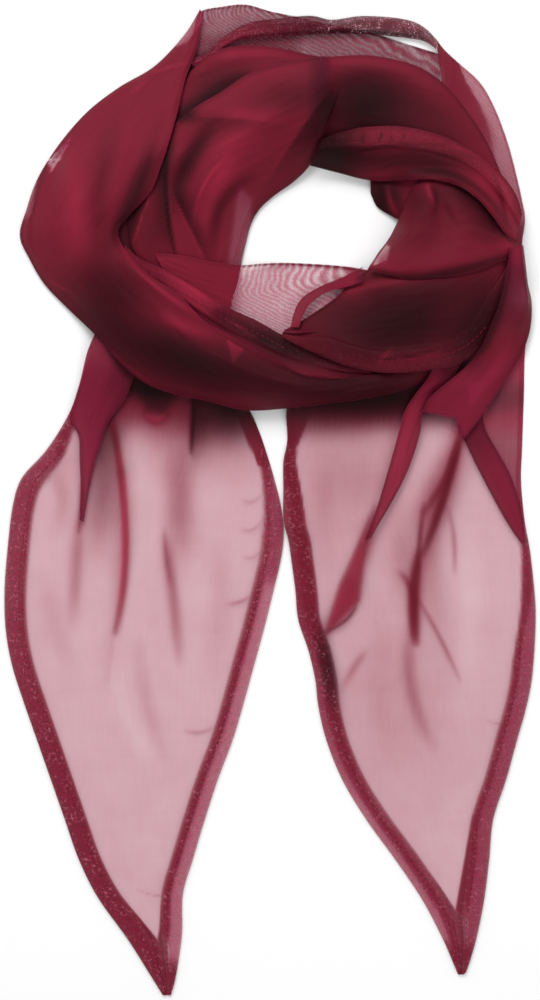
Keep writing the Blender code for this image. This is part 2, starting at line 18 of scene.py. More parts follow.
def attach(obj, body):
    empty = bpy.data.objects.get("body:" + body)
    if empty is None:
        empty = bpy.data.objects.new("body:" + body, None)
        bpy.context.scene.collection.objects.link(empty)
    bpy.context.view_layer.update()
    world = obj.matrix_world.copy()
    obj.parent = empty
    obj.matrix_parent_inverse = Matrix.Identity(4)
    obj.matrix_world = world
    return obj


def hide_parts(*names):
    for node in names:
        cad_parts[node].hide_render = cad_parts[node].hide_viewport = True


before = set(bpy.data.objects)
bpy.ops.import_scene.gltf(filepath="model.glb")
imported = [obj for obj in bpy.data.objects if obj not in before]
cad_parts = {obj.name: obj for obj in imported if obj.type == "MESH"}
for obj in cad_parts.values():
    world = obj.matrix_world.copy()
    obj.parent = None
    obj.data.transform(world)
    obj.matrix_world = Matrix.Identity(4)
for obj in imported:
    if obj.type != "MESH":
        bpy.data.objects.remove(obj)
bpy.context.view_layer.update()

bl_info = {
    "name": "Chiffon scarf",
    "version": (1, 0, 0),
    "blender": (4, 5, 0),
    "location": "3D View > Sidebar > Scarf",
    "description": "Builds a sheer scarf, wound into a ring and laid flat, one stretch of cloth at a time",
    "category": "Object",
}

MM = 0.001
# The thickness that a laid stretch takes up, and the gap between it and what it lies on.
WALL = 1.0
GAP = 0.35
# How far a hem stands above the cloth beside it, and how high the ring of hidden layers is at its rims.
HEM_RISE = 0.8
RING_RIM = 1.5
# The length of a cell of the laid form, the fine cells that it is cut into, and a fine cell's width.
CELL = 9.5
FINER = 8
FINE_CELL = 1.25
# The grid of laid heights: its cell and its reach, and the steps along a triangle's side at which it is read.
# Then the steps of a curve between two sections, and the rounds in which cloth bridges and settles.
GRID_CELL = 1.0
GRID_HALF_WIDTH = 150.0
GRID_HALF_LENGTH = 270.0
LATTICE = 10
CURVE_STEPS = 12
TAUT_ROUNDS = 5
SETTLING_ROUNDS = 14
# A hem's inner step and its greatest width, as shares of a section, and the columns across it.
HEM_STEP = 0.04
WIDEST_HEM = 0.40
WIDEST_SHOWN_HEM = 0.53
HEM_COLUMNS = 8
# How far along Y a hem takes to come out of a fold, and how much softer its border is where it is narrow.
HEM_EMERGES = 3.0
NARROW_SOFTER = 1.7
# Where both hems take this share of a section, they widen towards the tail's point, over this span.
POINT_SHARE = 0.26
POINT_SPAN = 0.17
POINT_WIDER = 0.16
WIDEST_POINT = 1.5
# The share of its full width from which a hem shows its outer strip, and the span over which it does so.
# Then the Y from which a hem gains layers, and the span over which it does.
STRIP_FROM = 0.5
STRIP_SPAN = 0.3
GAIN_FROM_Y = -40.0
GAIN_SPAN = 110.0
# How soft a hem's borders are, as shares of its width, and the height and length of its puckers.
HEM_BORDER = 0.10
STRIP_BORDER = 0.12
PUCKER_HEIGHT = 0.12
PUCKER_LENGTH = 4.7
# How much closer the columns lie at a section's edges, the most upright wall, and the shape of a crown.
ROUNDER = 0.65
STEEPEST = 0.5
DOME_POWER = 0.6
# A turned edge's radius, the steps of the part turned in, and the most of a section that it takes.
TURN_RADIUS = 0.42
TURN_STEP = 2.5
WIDEST_TURN = 0.42
# The ripple's wave lengths. Then how far into its half wave a fold and a crease start, how blunt a crease's
# ends are, how soft the cut of a crease with one side is, and how steeply a shade oval's painted shade fades.
RIPPLES = (7.0, 4.6, 3.1)
FOLD_END = 0.08
CREASE_END = 0.04
CREASE_BLUNT = 0.7
CREASE_CUT = 0.9
SHADE_OVAL_FADE = 0.7
# The strips along an edge where creases fade out and where a rim's painted shade shows.
CREASE_FADE = 6.0
RIM_REACH = 1.3
# The fewest layers, and the lowest that any cloth lies.
FEWEST_LAYERS = 0.6
LOWEST = 0.06
# The hidden layers: fine rows to a section, points across it, the pleats with their depth, height and sway,
# the underside and the lowest top, the cloth's map, and its layers and painted shade.
RING_FINER = 8
RING_COLUMNS = 49
PLEATS = 9
PLEAT_DROP = 0.9
PLEAT_HEIGHT = 0.6
PLEAT_SWAY = 31.0
RING_BOTTOM = 0.25
RING_LOWEST_TOP = 0.3
RING_SECTION_LENGTH = 10.0
RING_GIRTH = 70.0
RING_LAYERS = 7.0
RING_SHADE = 0.75
# The share of the thin colour that each further layer leaves, and of the colour that a full painted shade
# leaves.
THIN_LEFT = 0.55
LIGHT_LEFT = 0.22
# The scale and detail of each noise: slubs along and across the weave, its clouds, the moire bands' sway and
# jags, and the clumps of specks.
SLUBS = (700.0, 2.0)
CROSSED_SLUBS = (520.0, 1.0)
CLOUDS = (55.0, 3.0)
SWAY = (120.0, 1.0)
JAGS = (1100.0, 1.0)
CLUMPS = (170.0, 2.0)
# How strongly the slubs, clouds and threads change the layers, each about its own mean.
CROSSED_SHARE = 0.5
CLOUD_SHARE = 1.6
UNEVEN_MEAN = 1.55
UNEVEN_GRAIN = 0.13
THREAD_MEAN = 0.4
THREAD_GRAIN = 0.08
# The moire bands: how round their tip is, how far they sway and jag in metres, and how much they close up.
TIP_ROUND = 0.005
SWAY_REACH = 0.0028
JAG_REACH = 0.0013
CLOSING_UP = 12.0
# Specks and their clumps: the noise's level at which each starts, how sharply, and the specks' roughness.
CLUMP_FROM = 0.40
CLUMP_SHARP = 5.0
SPECK_FROM = 0.53
SPECK_SHARP = 6.0
SPECK_ROUGH = 0.65
# How much the pits of crinkled cloth brighten or darken it and change its layers, and the reliefs' strength.
PIT_SHADE = -0.55
PIT_GRAIN = 2.0
WEAVE_RELIEF = 0.25
THREAD_RELIEF = 0.4
# The plain values of each shader.
CHIFFON_SURFACE = {
    "Roughness": 0.62,
    "Specular IOR Level": 0.08,
    "Sheen Weight": 0.02,
    "Sheen Roughness": 0.45,
    "Sheen Tint": (0.9, 0.45, 0.5, 1.0),
}
THREAD_SURFACE = {"Roughness": 0.6, "Specular IOR Level": 0.1}
FLOOR_SURFACE = {"Roughness": 0.9, "Specular IOR Level": 0.1}
# Stitches: how they lean in turn, in degrees, how far they stand up as a share of their thickness, and the
# most of a section that lies outside them.
LEANS = (-5.0, 7.0)
STITCH_RAISED = 0.4
WIDEST_INSET = 0.3
# The stage, in metres: half the floor's width, how far it lies under the scarf, the scarf's middle height
# that the view is set for, the camera's sensor in millimetres, and the light from all round.
FLOOR_REACH = 3.0
FLOOR_DROP = 0.0002
MIDDLE_HEIGHT = 0.004
SENSOR_WIDTH = 36.0
ROUND_LIGHT = 0.64

# A section goes across a stretch from its left edge to its right edge. The crown is how far the cloth
# stands up between them.
Section = namedtuple("Section", "left_x left_y right_x right_y crown")
# A section of the ring of hidden layers goes from the neck opening outwards.
RingSection = namedtuple("RingSection", "inner_x inner_y outer_x outer_y height")
# A fold is part of the laid form. It runs from its start through its middle to its end.
Fold = namedtuple("Fold", "start_x start_y middle_x middle_y end_x end_y width height")
# A crease is only in the cloth's own sheet. Layers is how much cloth is gathered along it, and on the tails
# some creases' layers paint the shadow beside a fold; shade is painted shade (below 0: a painted highlight).
# A side of 1 keeps it to the right of its run, and -1 to the left.
Crease = namedtuple(
    "Crease",
    "start_x start_y middle_x middle_y end_x end_y width height layers shade side",
    defaults=(0.0, 0),
)
# A shade oval is a soft oval of painted shade (above 0) or painted highlight (below 0), or with more or fewer
# layers; on the tails its extra layers paint shadow.
Tone = namedtuple("Tone", "x y reach_x reach_y turn shade layers", defaults=(0.0,))
# A patch is a four-cornered place with its own number of layers, fading over its soft distance. It may also
# have painted shade (shade; below 0 a painted highlight, and where the cloth fades out it keeps the colour
# deep) and be more crinkled (crepe) than the cloth round it.
Patch = namedtuple("Patch", "a_x a_y b_x b_y c_x c_y d_x d_y layers soft shade crepe", defaults=(0.0, 0.0))
# Where a hem comes out of a fold: its side (0 is left), the Y at which it starts, the Y at which it is fully
# wide, and the share of its width that it starts with.
HemStart = namedtuple("HemStart", "stretch side start_y full_y narrowest")
# How a hem's cloth lies: layers in its outer and inner strip, the strips' border, how crinkled it is, and
# the layers that it gains towards the tail's point.
HemLook = namedtuple("HemLook", "stretch side outer inner border crepe gain")
# A row of stitches: the stretch, its side, how far in from the edge it lies, and the shares of its run.
StitchRow = namedtuple("StitchRow", "stretch side inset first last")
# A large soft light, in metres and watts.
SoftLight = namedtuple("SoftLight", "name place aim size power")
# For each finish: how strongly specks show where the cloth is crinkled, how fine the crinkle is, and the
# moire bands' tip, limbs, spacing and strength.
Finish = namedtuple(
    "Finish",
    "flecks crinkle tip_x tip_y first_x first_y second_x second_y spacing bands",
    defaults=(1100, 0, 0, 1, 0, 0, 1, 5.0, 0.0),
)
# A stretch's turns are how far its left, right, first and last edges are turned in, its rims the painted
# shade along its left and right edges, and flatter the share of its crown that its own sheet doesn't have.
Stretch = namedtuple(
    "Stretch",
    "name sections cells slot layers finish cell hems turns folds creases tones patches rims crepe flatter "
    "lies_on",
    defaults=("plain", CELL, (False, False), (0, 0, 0, 0), (), (), (), (), (0.3, 0.3), 0.0, 0.0, ()),
)


def rows_of(kind, *rows):
    """A table: the given rows as tuples of one kind."""
    return [kind(*row) for row in rows]


HIDDEN_LAYERS = rows_of(
    RingSection,
    (74, 139, 115, 139, 10),
    (68, 167, 104, 180, 10),
    (41, 178, 58, 209, 10),
    (15, 177, 14, 209, 11),
    (-5, 164, -28, 201, 12),
    (-21, 147, -75, 184, 13),
    (-25, 130, -106, 155, 14),
    (-29, 112, -110, 130, 14),
    (-29, 98, -96, 106, 13),
    (-18, 83, -71, 76, 11),
    (-2, 76, -30, 57, 9),
    (20, 75, 15, 54, 9),
    (41, 84, 57, 57, 10),
    (52, 103, 92, 76, 11),
    (65, 119, 114, 105, 11),
)

BACK_SHEET = rows_of(
    Section,
    (-38.5, 233, -50, 203, 0.0),
    (-35.5, 244, -38, 207, 0.5),
    (-24, 247, -28, 212, 1.0),
    (-12, 248, -12, 212, 1.0),
    (1, 244.5, 2, 210, 0.5),
    (18, 241, 20, 208, 0.5),
    (35, 237, 38, 208, 0.5),
    (52, 233.5, 55, 208, 0.5),
    (68, 228.5, 69, 204, 0.5),
    (85.5, 223, 85.5, 198, 0.5),
)
BACK_SHEET_CREASES = rows_of(
    Crease,
    (-34, 216, -24, 222, -6, 226, 4.0, 0.8, 0.5),
    (-36, 236, -34, 226, -38, 214, 2.0, 0.6, 0.6),
    (10, 224, 40, 222, 66, 214, 3.0, -0.5, 0.4),
)
BACK_SHEET_PATCHES = rows_of(
    Patch,
    (-40, 250, 90, 250, 90, 180, -60, 200, 2.4, 0.5),
    (-40, 232, 14, 236, 14, 205, -50, 200, 3.4, 6.0),
    (-46, 219, -24, 226, -24, 210, -46, 205, 6.0, 3.0, 0.6),
    (56, 236, 92, 236, 92, 190, 50, 205, 2.7, 6.0, 0.0, 0.9),
)
BACK_SHEET_SHADE_OVALS = rows_of(
    Tone,
    (20, 225, 90, 30, -8, 0.30),
    (-22, 220, 10, 8, 20, 0.2, 0.8),
)

RIGHT_SHEET = rows_of(
    Section,
    (84, 229.5, 83.5, 226.5, 0.3),
    (87.5, 225, 85.5, 214, 0.5),
    (93.5, 219.5, 86, 199, 1.0),
    (105, 209, 91, 187, 1.0),
    (112, 197, 98, 177, 1.0),
    (118, 181.5, 104, 167, 1.0),
    (122, 167.5, 109, 155, 0.8),
    (126, 150, 111, 143, 0.6),
    (127.5, 140, 112, 134, 0.6),
    (126, 127.5, 111, 125, 0.6),
    (127.5, 112, 110, 113, 0.6),
    (129, 100, 108, 100, 0.6),
    (128.5, 88, 104, 88, 0.6),
)
RIGHT_SHEET_CREASES = rows_of(
    Crease,
    (92, 224, 91, 215, 91, 205, 1.2, 0.6, 1.2),
    (100, 200, 108, 190, 113, 176, 1.5, 0.5, 0.8),
)
RIGHT_SHEET_PATCHES = rows_of(
    Patch,
    (84, 232, 94, 220, 98.5, 208, 84, 208, 6.0, 0.5),
    (84, 209, 98, 209, 104.5, 199, 88, 188, 6.0, 0.5),
    (88, 195, 104, 200, 109.5, 185, 96, 178, 5.0, 0.5),
    (96, 182, 109, 187, 114.5, 164, 102, 160, 4.5, 0.5),
    (111, 178, 124, 180, 130, 84, 108, 84, 2.1, 6.0),
    (108, 137, 130, 137, 131, 110, 106, 110, 4.2, 8.0),
)

EDGE_ROLL = rows_of(
    Section,
    (-40, 221, -38.5, 216, 0.6),
    (-32, 223, -29, 220.5, 1.0),
    (-27, 228, -22, 226.5, 1.5),
    (-20, 233.5, -15, 230, 2.5),
    (-10, 238.5, -7, 231, 3.5),
    (4, 240.5, 6, 232, 3.5),
    (20, 242, 20, 233, 3.0),
    (31, 240, 32, 233.5, 3.5),
    (45, 242, 46, 233.5, 3.5),
    (60, 241.5, 60, 232.5, 3.5),
    (71, 239.5, 70, 231.5, 3.0),
    (78, 235.5, 77, 230, 2.0),
    (84, 229, 83, 226, 0.6),
)
EDGE_ROLL_CREASES = rows_of(
    Crease,
    (-30, 223, -10, 235, 20, 236, 1.2, -1.0, 1.0),
    (20, 236, 50, 237, 80, 230, 1.2, -1.2, 1.0),
    (-12, 238, 10, 238.5, 30, 238.5, 1.0, 0.6, -0.8),
)
EDGE_ROLL_SHADE_OVALS = rows_of(
    Tone,
    (16, 239, 24, 6, 0, 0.45),
    (55, 238, 32, 8, 0, 0.35),
    (58, 233, 26, 2.0, -2, 0.6),
)
EDGE_ROLL_PATCHES = rows_of(
    Patch,
    (26, 250, 100, 250, 100, 220, 26, 225, 4.0, 8.0, 0.0, 1.0),
)

LEFT_TAIL = rows_of(
    Section,
    (-86.5, 85, -27, 58, 0.0),
    (-91, 74, -15, 51, 1.0),
    (-94.5, 60, -10, 44, 1.5),
    (-97.5, 50, -6, 35, 1.0),
    (-103.5, 37.5, -2.5, 25, 0.5),
    (-112.5, 24, 2, 10, 0.0),
    (-124, 11, 5, -2.5, 0.0),
    (-128.5, -2.5, 6.5, -15, 0.0),
    (-131, -22.5, 5.5, -27.5, 0.0),
    (-132.7, -45, 1.5, -45, 0.0),
    (-132.1, -65, -3.5, -65, 0.0),
    (-129, -82.5, -9, -85, 0.0),
    (-123.5, -100, -13.5, -101.5, 0.0),
    (-116.5, -120, -19, -120, 0.0),
    (-109.5, -140, -26.5, -140, 0.0),
    (-102.5, -160, -33, -160, 0.0),
    (-95.5, -180, -39, -180, 0.0),
    (-86, -199, -44, -197.5, 0.0),
    (-71, -220, -44.5, -217.5, 0.0),
    (-59, -239, -47.5, -238.5, 0.0),
    (-53.5, -247.9, -50, -247.9, 0.0),
)
LEFT_TAIL_FOLDS = rows_of(
    Fold,
    (-76, 40, -72, -6, -77, -72, 5.0, 4.5),
    (-53, 10, -52, -25, -44, -80, 9.0, 2.5),
    (-39, 46, -38, 34, -40, 14, 4.0, 3.0),
    (-100, 5, -104, -45, -92, -110, 10.0, 1.6),
    (-20, 20, -16, -20, -26, -70, 9.0, 1.8),
)
# Some of these creases add layers and shade only to paint shadow: beside the main fold, and along the edge of
# the shadow below the front band.
LEFT_TAIL_CREASES = rows_of(
    Crease,
    (-81.5, 50, -72.4, -12, -77.5, -66, 1.5, 1.0, 4.8, -0.05),
    (-76, 24, -72.6, -16, -76, -60, 1.8, 0.0, 0.0, -0.4),
    (-80, 48, -73.5, -10, -80, -88, 4.6, -0.4, 0.45, 0.0, 1),
    (-66, 38, -64, -5, -68, -44, 3.2, 0.8, -0.08),
    (-96, -8, -97, -32, -99, -60, 3.2, -0.5, 0.8),
    (-94.2, 8, -94.5, -4, -96, -16, 1.2, 0.5, 2.2, 0.1),
    (-52, -20, -49, -44, -45.5, -80, 2.8, -0.5, 1.1),
    (-53, -14, -52, -27, -50, -42, 1.2, -0.3, 1.1),
    (-41.5, 30, -44, 8, -45.5, -16, 6.0, -0.5, 0.65),
    (-39, 52, -39, 39, -39.5, 24, 1.1, 0.9, 5.5, 0.4),
    (-64, 47, -57, 39.5, -49, 47, 1.6, 1.2, 2.0, -0.2),
    (-39.4, 60, -39, 43, -39.5, 26, 7.0, 0.0, 1.8, 0.75, -1),
    (-9.5, -48, -15, -51, -21, -52, 0.9, 0.5, 1.1),
    (-28, -113.5, -35, -116.5, -43, -115.5, 1.0, 0.4, 0.6),
    (-46, -196, -55, -198.5, -67, -195, 0.45, 0.2, 0.5),
    (-4, 3, -9, -1, -14, 0, 0.9, 0.5, 0.6),
    (-4, -10, -9, -15, -15, -14.5, 0.9, 0.5, 0.6),
    (-4, -25, -9, -29, -13, -28, 0.9, 0.5, 0.5),
    (-110, 14, -104, 2, -107, -16, 4.0, 0.3, 0.4),
    (-112, -40, -108, -60, -100, -84, 5.0, 0.3, 0.2),
    (-76, -84, -72, -108, -58, -132, 4.0, 0.8, -0.15),
    (-66, -70, -62, -100, -52, -130, 3.5, -0.5, 0.25),
    (-30, -20, -24, -50, -30, -90, 6.0, -0.4, 0.2),
    (-56, 34, -55, 0, -58, -40, 4.0, 0.5, -0.12),
)
# The third patch paints the shadow inside the U-shaped fold below the ring, with layers and shade.
LEFT_TAIL_PATCHES = rows_of(
    Patch,
    (-0.6, 8, 9, 8, 8, -40, -3.4, -40, 2.5, 7.0, 0.0, 0.6),
    (-74, 64, -68, 51, -56, 50.5, -48, 62, 7.0, 3.0),
    (-66, 56, -62.5, 44.5, -51.5, 43, -46.5, 54, 6.5, 4.4, 0.55),
    (-90, -232, -20, -233, -20, -290, -90, -290, 4.9, 8.0),
    (-17, 43, -7, 44, 1, 17, -5.2, 17, 5.5, 0.8, 0.0),
)
# Painted shade and shadow, with extra layers: below the ring and the front band, and between the flap and the
# main fold.
LEFT_TAIL_SHADE_OVALS = rows_of(
    Tone,
    (-64, 57, 12, 5, -15, 1.6, 3.0),
    (-60, 51, 32, 11, -8, 0.12, 4.6),
    (-20, 48, 13, 11.5, -11, 1.55, 3.2),
    (-26, 30, 18, 14, -11, 0.0, 0.6),
    (-50, 13, 6, 8, 0, 0.0, 0.45),
    (-83, 32, 7, 16, -6, 0.45, 2.5),
    (-83, 2, 8, 14, -6, 0.12, 0.9),
    (-86, -12, 6, 16, -6, 0.0, 0.35),
    (-50, 30, 11, 10, 0, 0.0, 0.4),
    (-46, -12, 7, 14, 4, 0.0, 0.55),
    (-108, 22, 8, 10, 30, 0.0, 0.3),
)

LEFT_TAIL_FLAP = rows_of(
    Section,
    (-87, 83, -66, 65, 0.5),
    (-91, 74, -69.5, 58, 2.0),
    (-94.5, 60, -73, 50, 2.5),
    (-97.5, 50, -79, 42, 2.0),
    (-100, 40.5, -82.5, 36, 1.2),
    (-95.5, 32, -85, 28, 1.0),
    (-95, 20, -88, 18, 1.0),
    (-94.5, 5, -91, 4, 0.8),
    (-95, -10, -93.5, -11, 0.3),
)
LEFT_TAIL_FLAP_CREASES = rows_of(
    Crease,
    (-88.5, 78, -93, 66, -95.5, 56, 0.7, 0.4, -1.0, -0.3),
    (-80, 72, -84, 58, -90, 40, 4.0, 0.7, 0.3, -0.1),
    (-70, 60, -76, 48, -86, 30, 2.5, 0.6, 0.8, 0.1),
    (-81, 76, -74, 66, -66, 58, 2.0, 0.0, 0.0, 0.8),
)
LEFT_TAIL_FLAP_SHADE_OVALS = rows_of(
    Tone,
    (-70, 62, 8, 12, -35, 0.35),
    (-84, 62, 10, 24, -20, 0.18),
)

RIGHT_TAIL = rows_of(
    Section,
    (15, 62, 128.4, 84, 0.0),
    (11, 53, 127.3, 70, 1.0),
    (8.5, 44, 127, 55, 1.5),
    (9, 30, 126.5, 40, 1.0),
    (7, 19, 126, 25, 0.5),
    (7, 5, 125.5, 10, 0.0),
    (7, -10, 127, -8, 0.0),
    (9.5, -20, 129, -20, 0.0),
    (11, -30, 130.5, -30, 0.0),
    (13, -45, 132.5, -50, 0.0),
    (14.5, -60, 132.7, -62, 0.0),
    (19.5, -75, 132, -77, 0.0),
    (23, -90, 130.5, -92, 0.0),
    (24.5, -103, 127.5, -106, 0.0),
    (28.5, -120, 123.5, -120, 0.0),
    (36.5, -140, 118, -140, 0.0),
    (48.5, -160, 111.5, -160, 0.0),
    (63, -180, 109.5, -180, 0.0),
    (76.5, -200, 107, -200, 0.0),
    (87, -220, 103, -220, 0.0),
    (93, -234, 98.5, -235, 0.0),
    (94.5, -237.5, 97, -237.5, 0.0),
)
RIGHT_TAIL_FOLDS = rows_of(
    Fold,
    (50, -10, 42, -40, 30, -66, 6.0, 4.0),
    (95, 28, 84, 0, 76, -28, 7.0, 4.0),
    (78, -5, 78, -42, 98, -92, 7.0, 4.5),
    (93, 15, 91, -2, 92, -20, 6.0, 2.5),
    (46, -70, 40, -95, 42, -120, 9.0, 1.6),
    (112, -40, 108, -85, 98, -140, 10.0, 1.6),
)
RIGHT_TAIL_CREASES = rows_of(
    Crease,
    (97, 44, 90.5, 17, 77, -6, 1.7, 1.0, 4.2, 0.1),
    (97, 42, 88, 15, 76, -10, 4.5, 0.0, 0.6),
    (94, 28, 86.5, 1, 76.5, -27, 1.9, 0.8, 6.2, 0.2),
    (77, -2, 75, -18, 73.5, -38, 1.2, 0.7, 3.0, 0.1),
    (74.5, -26, 72, -47, 73, -71, 2.1, 1.0, 6.0, 0.1),
    (76, -24, 73, -44, 73, -64, 4.0, 0.0, 0.8),
    (65, -36, 69.5, -42, 72.5, -52, 1.5, 0.4, 1.8),
    (73, -48, 84, -67, 95, -90, 1.0, 0.5, 1.4),
    (89, -4, 92, -18, 92.5, -36, 1.2, 0.4, 0.9),
    (72, -60, 70.5, -92, 82, -124, 3.4, -0.4, 0.7),
    (48, -76, 42, -84, 36, -95, 1.8, -0.3, 0.8),
    (53, -4, 48, -20, 41, -40, 2.2, 0.6, 2.6),
    (50, -12, 41, -42, 25, -68, 3.4, 0.6, 1.2),
    (43.5, -51, 38, -60, 25.5, -67, 0.9, 0.5, 3.0, 0.2),
    (62, 46, 60, 20, 54, 0, 3.0, 0.4, 0.2),
    (30, 20, 26, -10, 30, -50, 6.0, 0.5, 0.2),
    (56, -60, 54, -90, 60, -130, 6.0, -0.4, 0.12),
    (98, -20, 100, -60, 94, -110, 6.0, 0.5, -0.15),
    (108, -110, 114, -112, 119, -111, 0.5, 0.2, 0.5),
    (84, 6, 80, -20, 84, -60, 5.0, -0.4, 0.5),
)
RIGHT_TAIL_PATCHES = rows_of(
    Patch,
    (8, 46, 21.5, 46, 12.5, 25, 7, 25, 5.5, 0.8, 0.1),
    (99, 80, 130, 80, 127.5, -22, 100, 30, 2.8, 0.8),
    (96, 84, 134, 84, 134, 36, 96, 36, 3.6, 14.0, -0.25),
    (47.5, -16, 44.4, -50, 28, -67, 35.5, -42, 5.4, 3.2, -0.22),
    (62, -170, 66.5, -170, 92.0, -206.5, 88, -211, 3.9, 1.4),
    (101.5, -158, 104, -158, 97, -206.5, 93, -206.5, 4.6, 1.2),
    (50, -224, 140, -223, 140, -290, 50, -290, 4.9, 9.0),
)
# Painted shade and shadow, with extra layers: below the ring across the tail's top, and along the folds.
RIGHT_TAIL_SHADE_OVALS = rows_of(
    Tone,
    (45, 52, 60, 7.5, 0, 1.6, 7.0),
    (38, 43, 40, 7, 4, 0.2, 2.2),
    (86, 6, 7, 22, -25, 0.0, 0.9),
    (66, -30, 5, 16, 0, 0.0, 0.4),
    (94, 67, 5.5, 5.5, 0, 1.3, 7.0),
    (29, -84, 3.0, 15, 10, 0.9, 1.0),
    (40, 12, 22, 26, 0, 0.0, 0.5),
    (64, -96, 28, 44, 0, 0.0, 0.3),
)

DIAGONAL_FOLD = rows_of(
    Section,
    (94, 37, 106, 45, 0.5),
    (97.5, 30, 107.5, 35.5, 2.0),
    (103.5, 17.5, 114, 23.5, 2.5),
    (110, 5, 120, 12.5, 2.5),
    (116.5, -7, 124, 1, 2.0),
    (122, -16, 126, -8, 1.2),
    (126.3, -22, 127.5, -18, 0.4),
)
DIAGONAL_FOLD_SHADE_OVALS = rows_of(
    Tone,
    (102, 34, 9, 12, 30, 0.35),
)

BACK_LOOP = rows_of(
    Section,
    (-40, 214, -52, 185, 1.0),
    (-32, 221, -38, 184, 2.0),
    (-22, 225.5, -25, 190, 3.0),
    (-10, 227, -12, 196, 3.0),
    (5, 225.5, 2, 201, 3.0),
    (20, 222, 17, 203, 2.0),
    (35, 219.5, 32, 205, 1.0),
)
BACK_LOOP_SHADE_OVALS = rows_of(
    Tone,
    (-27, 207, 12, 7, 20, 0.5),
    (10, 207, 20, 4, -6, 0.3),
    (-14, 223, 18, 3, 5, -0.15),
)
BACK_LOOP_CREASES = rows_of(
    Crease,
    (-52, 187, -34, 196, -10, 211, 5.0, -1.0, 0.0, 1.3),
    (-38, 207, -12, 218, 30, 214, 3.0, -0.8, 0.0, 0.1),
)

BACK_BAND = rows_of(
    Section,
    (20, 219, 12, 190, 1.0),
    (35, 221, 25, 183, 2.0),
    (50, 221.5, 38, 176, 2.0),
    (65, 219, 53, 171, 2.0),
    (76, 215, 66, 169, 2.0),
    (86, 208, 78, 166, 2.0),
    (96, 196.5, 87, 161, 2.0),
    (104, 185, 94, 154, 2.0),
    (110, 174, 101, 147, 1.5),
    (115, 162.5, 106, 139, 1.0),
)
BACK_BAND_SHADE_OVALS = rows_of(
    Tone,
    (46, 196, 16, 14, 5, 1.4),
    (70, 190, 24, 11, -25, 0.45),
    (86, 196, 18, 10, -42, 0.14),
    (44, 219, 24, 4, 0, -0.2),
    (60, 182, 20, 4, -5, 0.5),
)
BACK_BAND_CREASES = rows_of(
    Crease,
    (30, 216, 62, 217, 98, 186, 4.5, 0.8, 0.0, -0.08),
    (34, 202, 56, 207, 88, 186, 5.0, -1.0, 0.0, 0.1),
)

INNER_BAND = rows_of(
    Section,
    (41, 221, 36, 206, 2.0),
    (28, 220.5, 29.5, 189, 3.5),
    (12.5, 218, 24.5, 176, 4.5),
    (-1, 215, 19, 166.5, 5.0),
    (-12.5, 210.5, 11, 159, 5.5),
    (-24, 202.5, 3, 153.5, 6.0),
    (-35, 196, -4, 147.5, 6.0),
    (-46, 188, -8, 142, 6.0),
    (-55, 177, -10.5, 136, 6.0),
    (-63, 163, -12, 130, 5.5),
    (-68, 148, -13.5, 124, 5.0),
    (-70, 134, -15, 117, 4.0),
    (-66, 121, -16.5, 109, 3.0),
    (-57, 111, -20, 100, 2.0),
    (-46, 103, -24, 94, 1.0),
)
INNER_BAND_FOLDS = rows_of(
    Fold,
    (-14, 171, -28, 156, -36, 134, 5.0, 2.5),
    (-51, 176, -50, 158, -47, 125, 4.0, 2.5),
    (-44, 160, -40, 145, -31, 121, 3.5, -2.5),
    (30, 205, 27, 190, 17, 170, 5.0, 2.5),
    (-20, 196, 5, 188, 24, 196, 7.0, 2.0),
)
INNER_BAND_CREASES = rows_of(
    Crease,
    (-27, 186, -41, 166, -47, 144, 4.2, -1.2, 0.0, 1.0),
    (-47.5, 152, -42, 140, -31, 118, 5.0, -0.9, 0.0, 0.75, -1),
    (-47.5, 152, -42, 140, -31, 118, 0.8, 0.8, 0.0, -0.35, 1),
    (-20, 171, -34, 153, -38, 133, 0.9, 0.9, 0.0, -0.3),
    (-20, 171, -34, 153, -38, 133, 5.0, 0.0, 0.0, 0.2, 1),
    (-51, 172, -51, 146, -46.5, 121, 0.8, -0.6, 0.0, 1.2),
    (-51, 172, -51, 146, -46.5, 121, 5.0, 0.3, 0.0, 0.55, 1),
    (-56.5, 159, -63.5, 140, -69, 124, 0.6, 0.4, 0.0, -0.6),
    (-56, 166, -66, 146, -72, 126, 4.0, -0.5, 0.0, 1.1),
    (-48, 189.5, -22, 189, 4, 186, 6.0, 0.0, 0.0, 0.30, 1),
    (-10, 160, -24, 146, -28, 124, 2.8, -1.0, 0.0, 0.55),
    (30, 202, 16, 184, 1, 162, 9.0, -0.6, 0.0, 0.40, -1),
    (30, 202, 16, 184, 1, 162, 0.9, 0.5, 0.0, -0.15, 1),
    (10, 200, -10, 183, -26, 172, 4.5, 0.9, 0.0, -0.2),
)
INNER_BAND_SHADE_OVALS = rows_of(
    Tone,
    (-52, 176, 3, 15, -4, 1.5),
    (-58, 134, 6, 14, -12, 0.35),
    (10, 199, 14, 7, 8, 0.5),
    (28, 208, 8, 10, 8, 0.25),
    (-14, 191, 7, 3, 0, -0.2),
    (-25, 160, 7, 12, -28, -0.3),
    (-30, 130, 7, 12, 10, -0.15),
    (-42, 191, 5, 2.6, 0, 1.0),
    (28, 192, 5, 16, -28, 1.0),
)
INNER_BAND_PATCHES = rows_of(
    Patch,
    (-16, 158, -8, 150, -12, 116, -22, 116, 2.6, 3.0),
    (24, 230, 50, 230, 50, 196, 24, 196, 0.02, 12.0, 0.9),
)

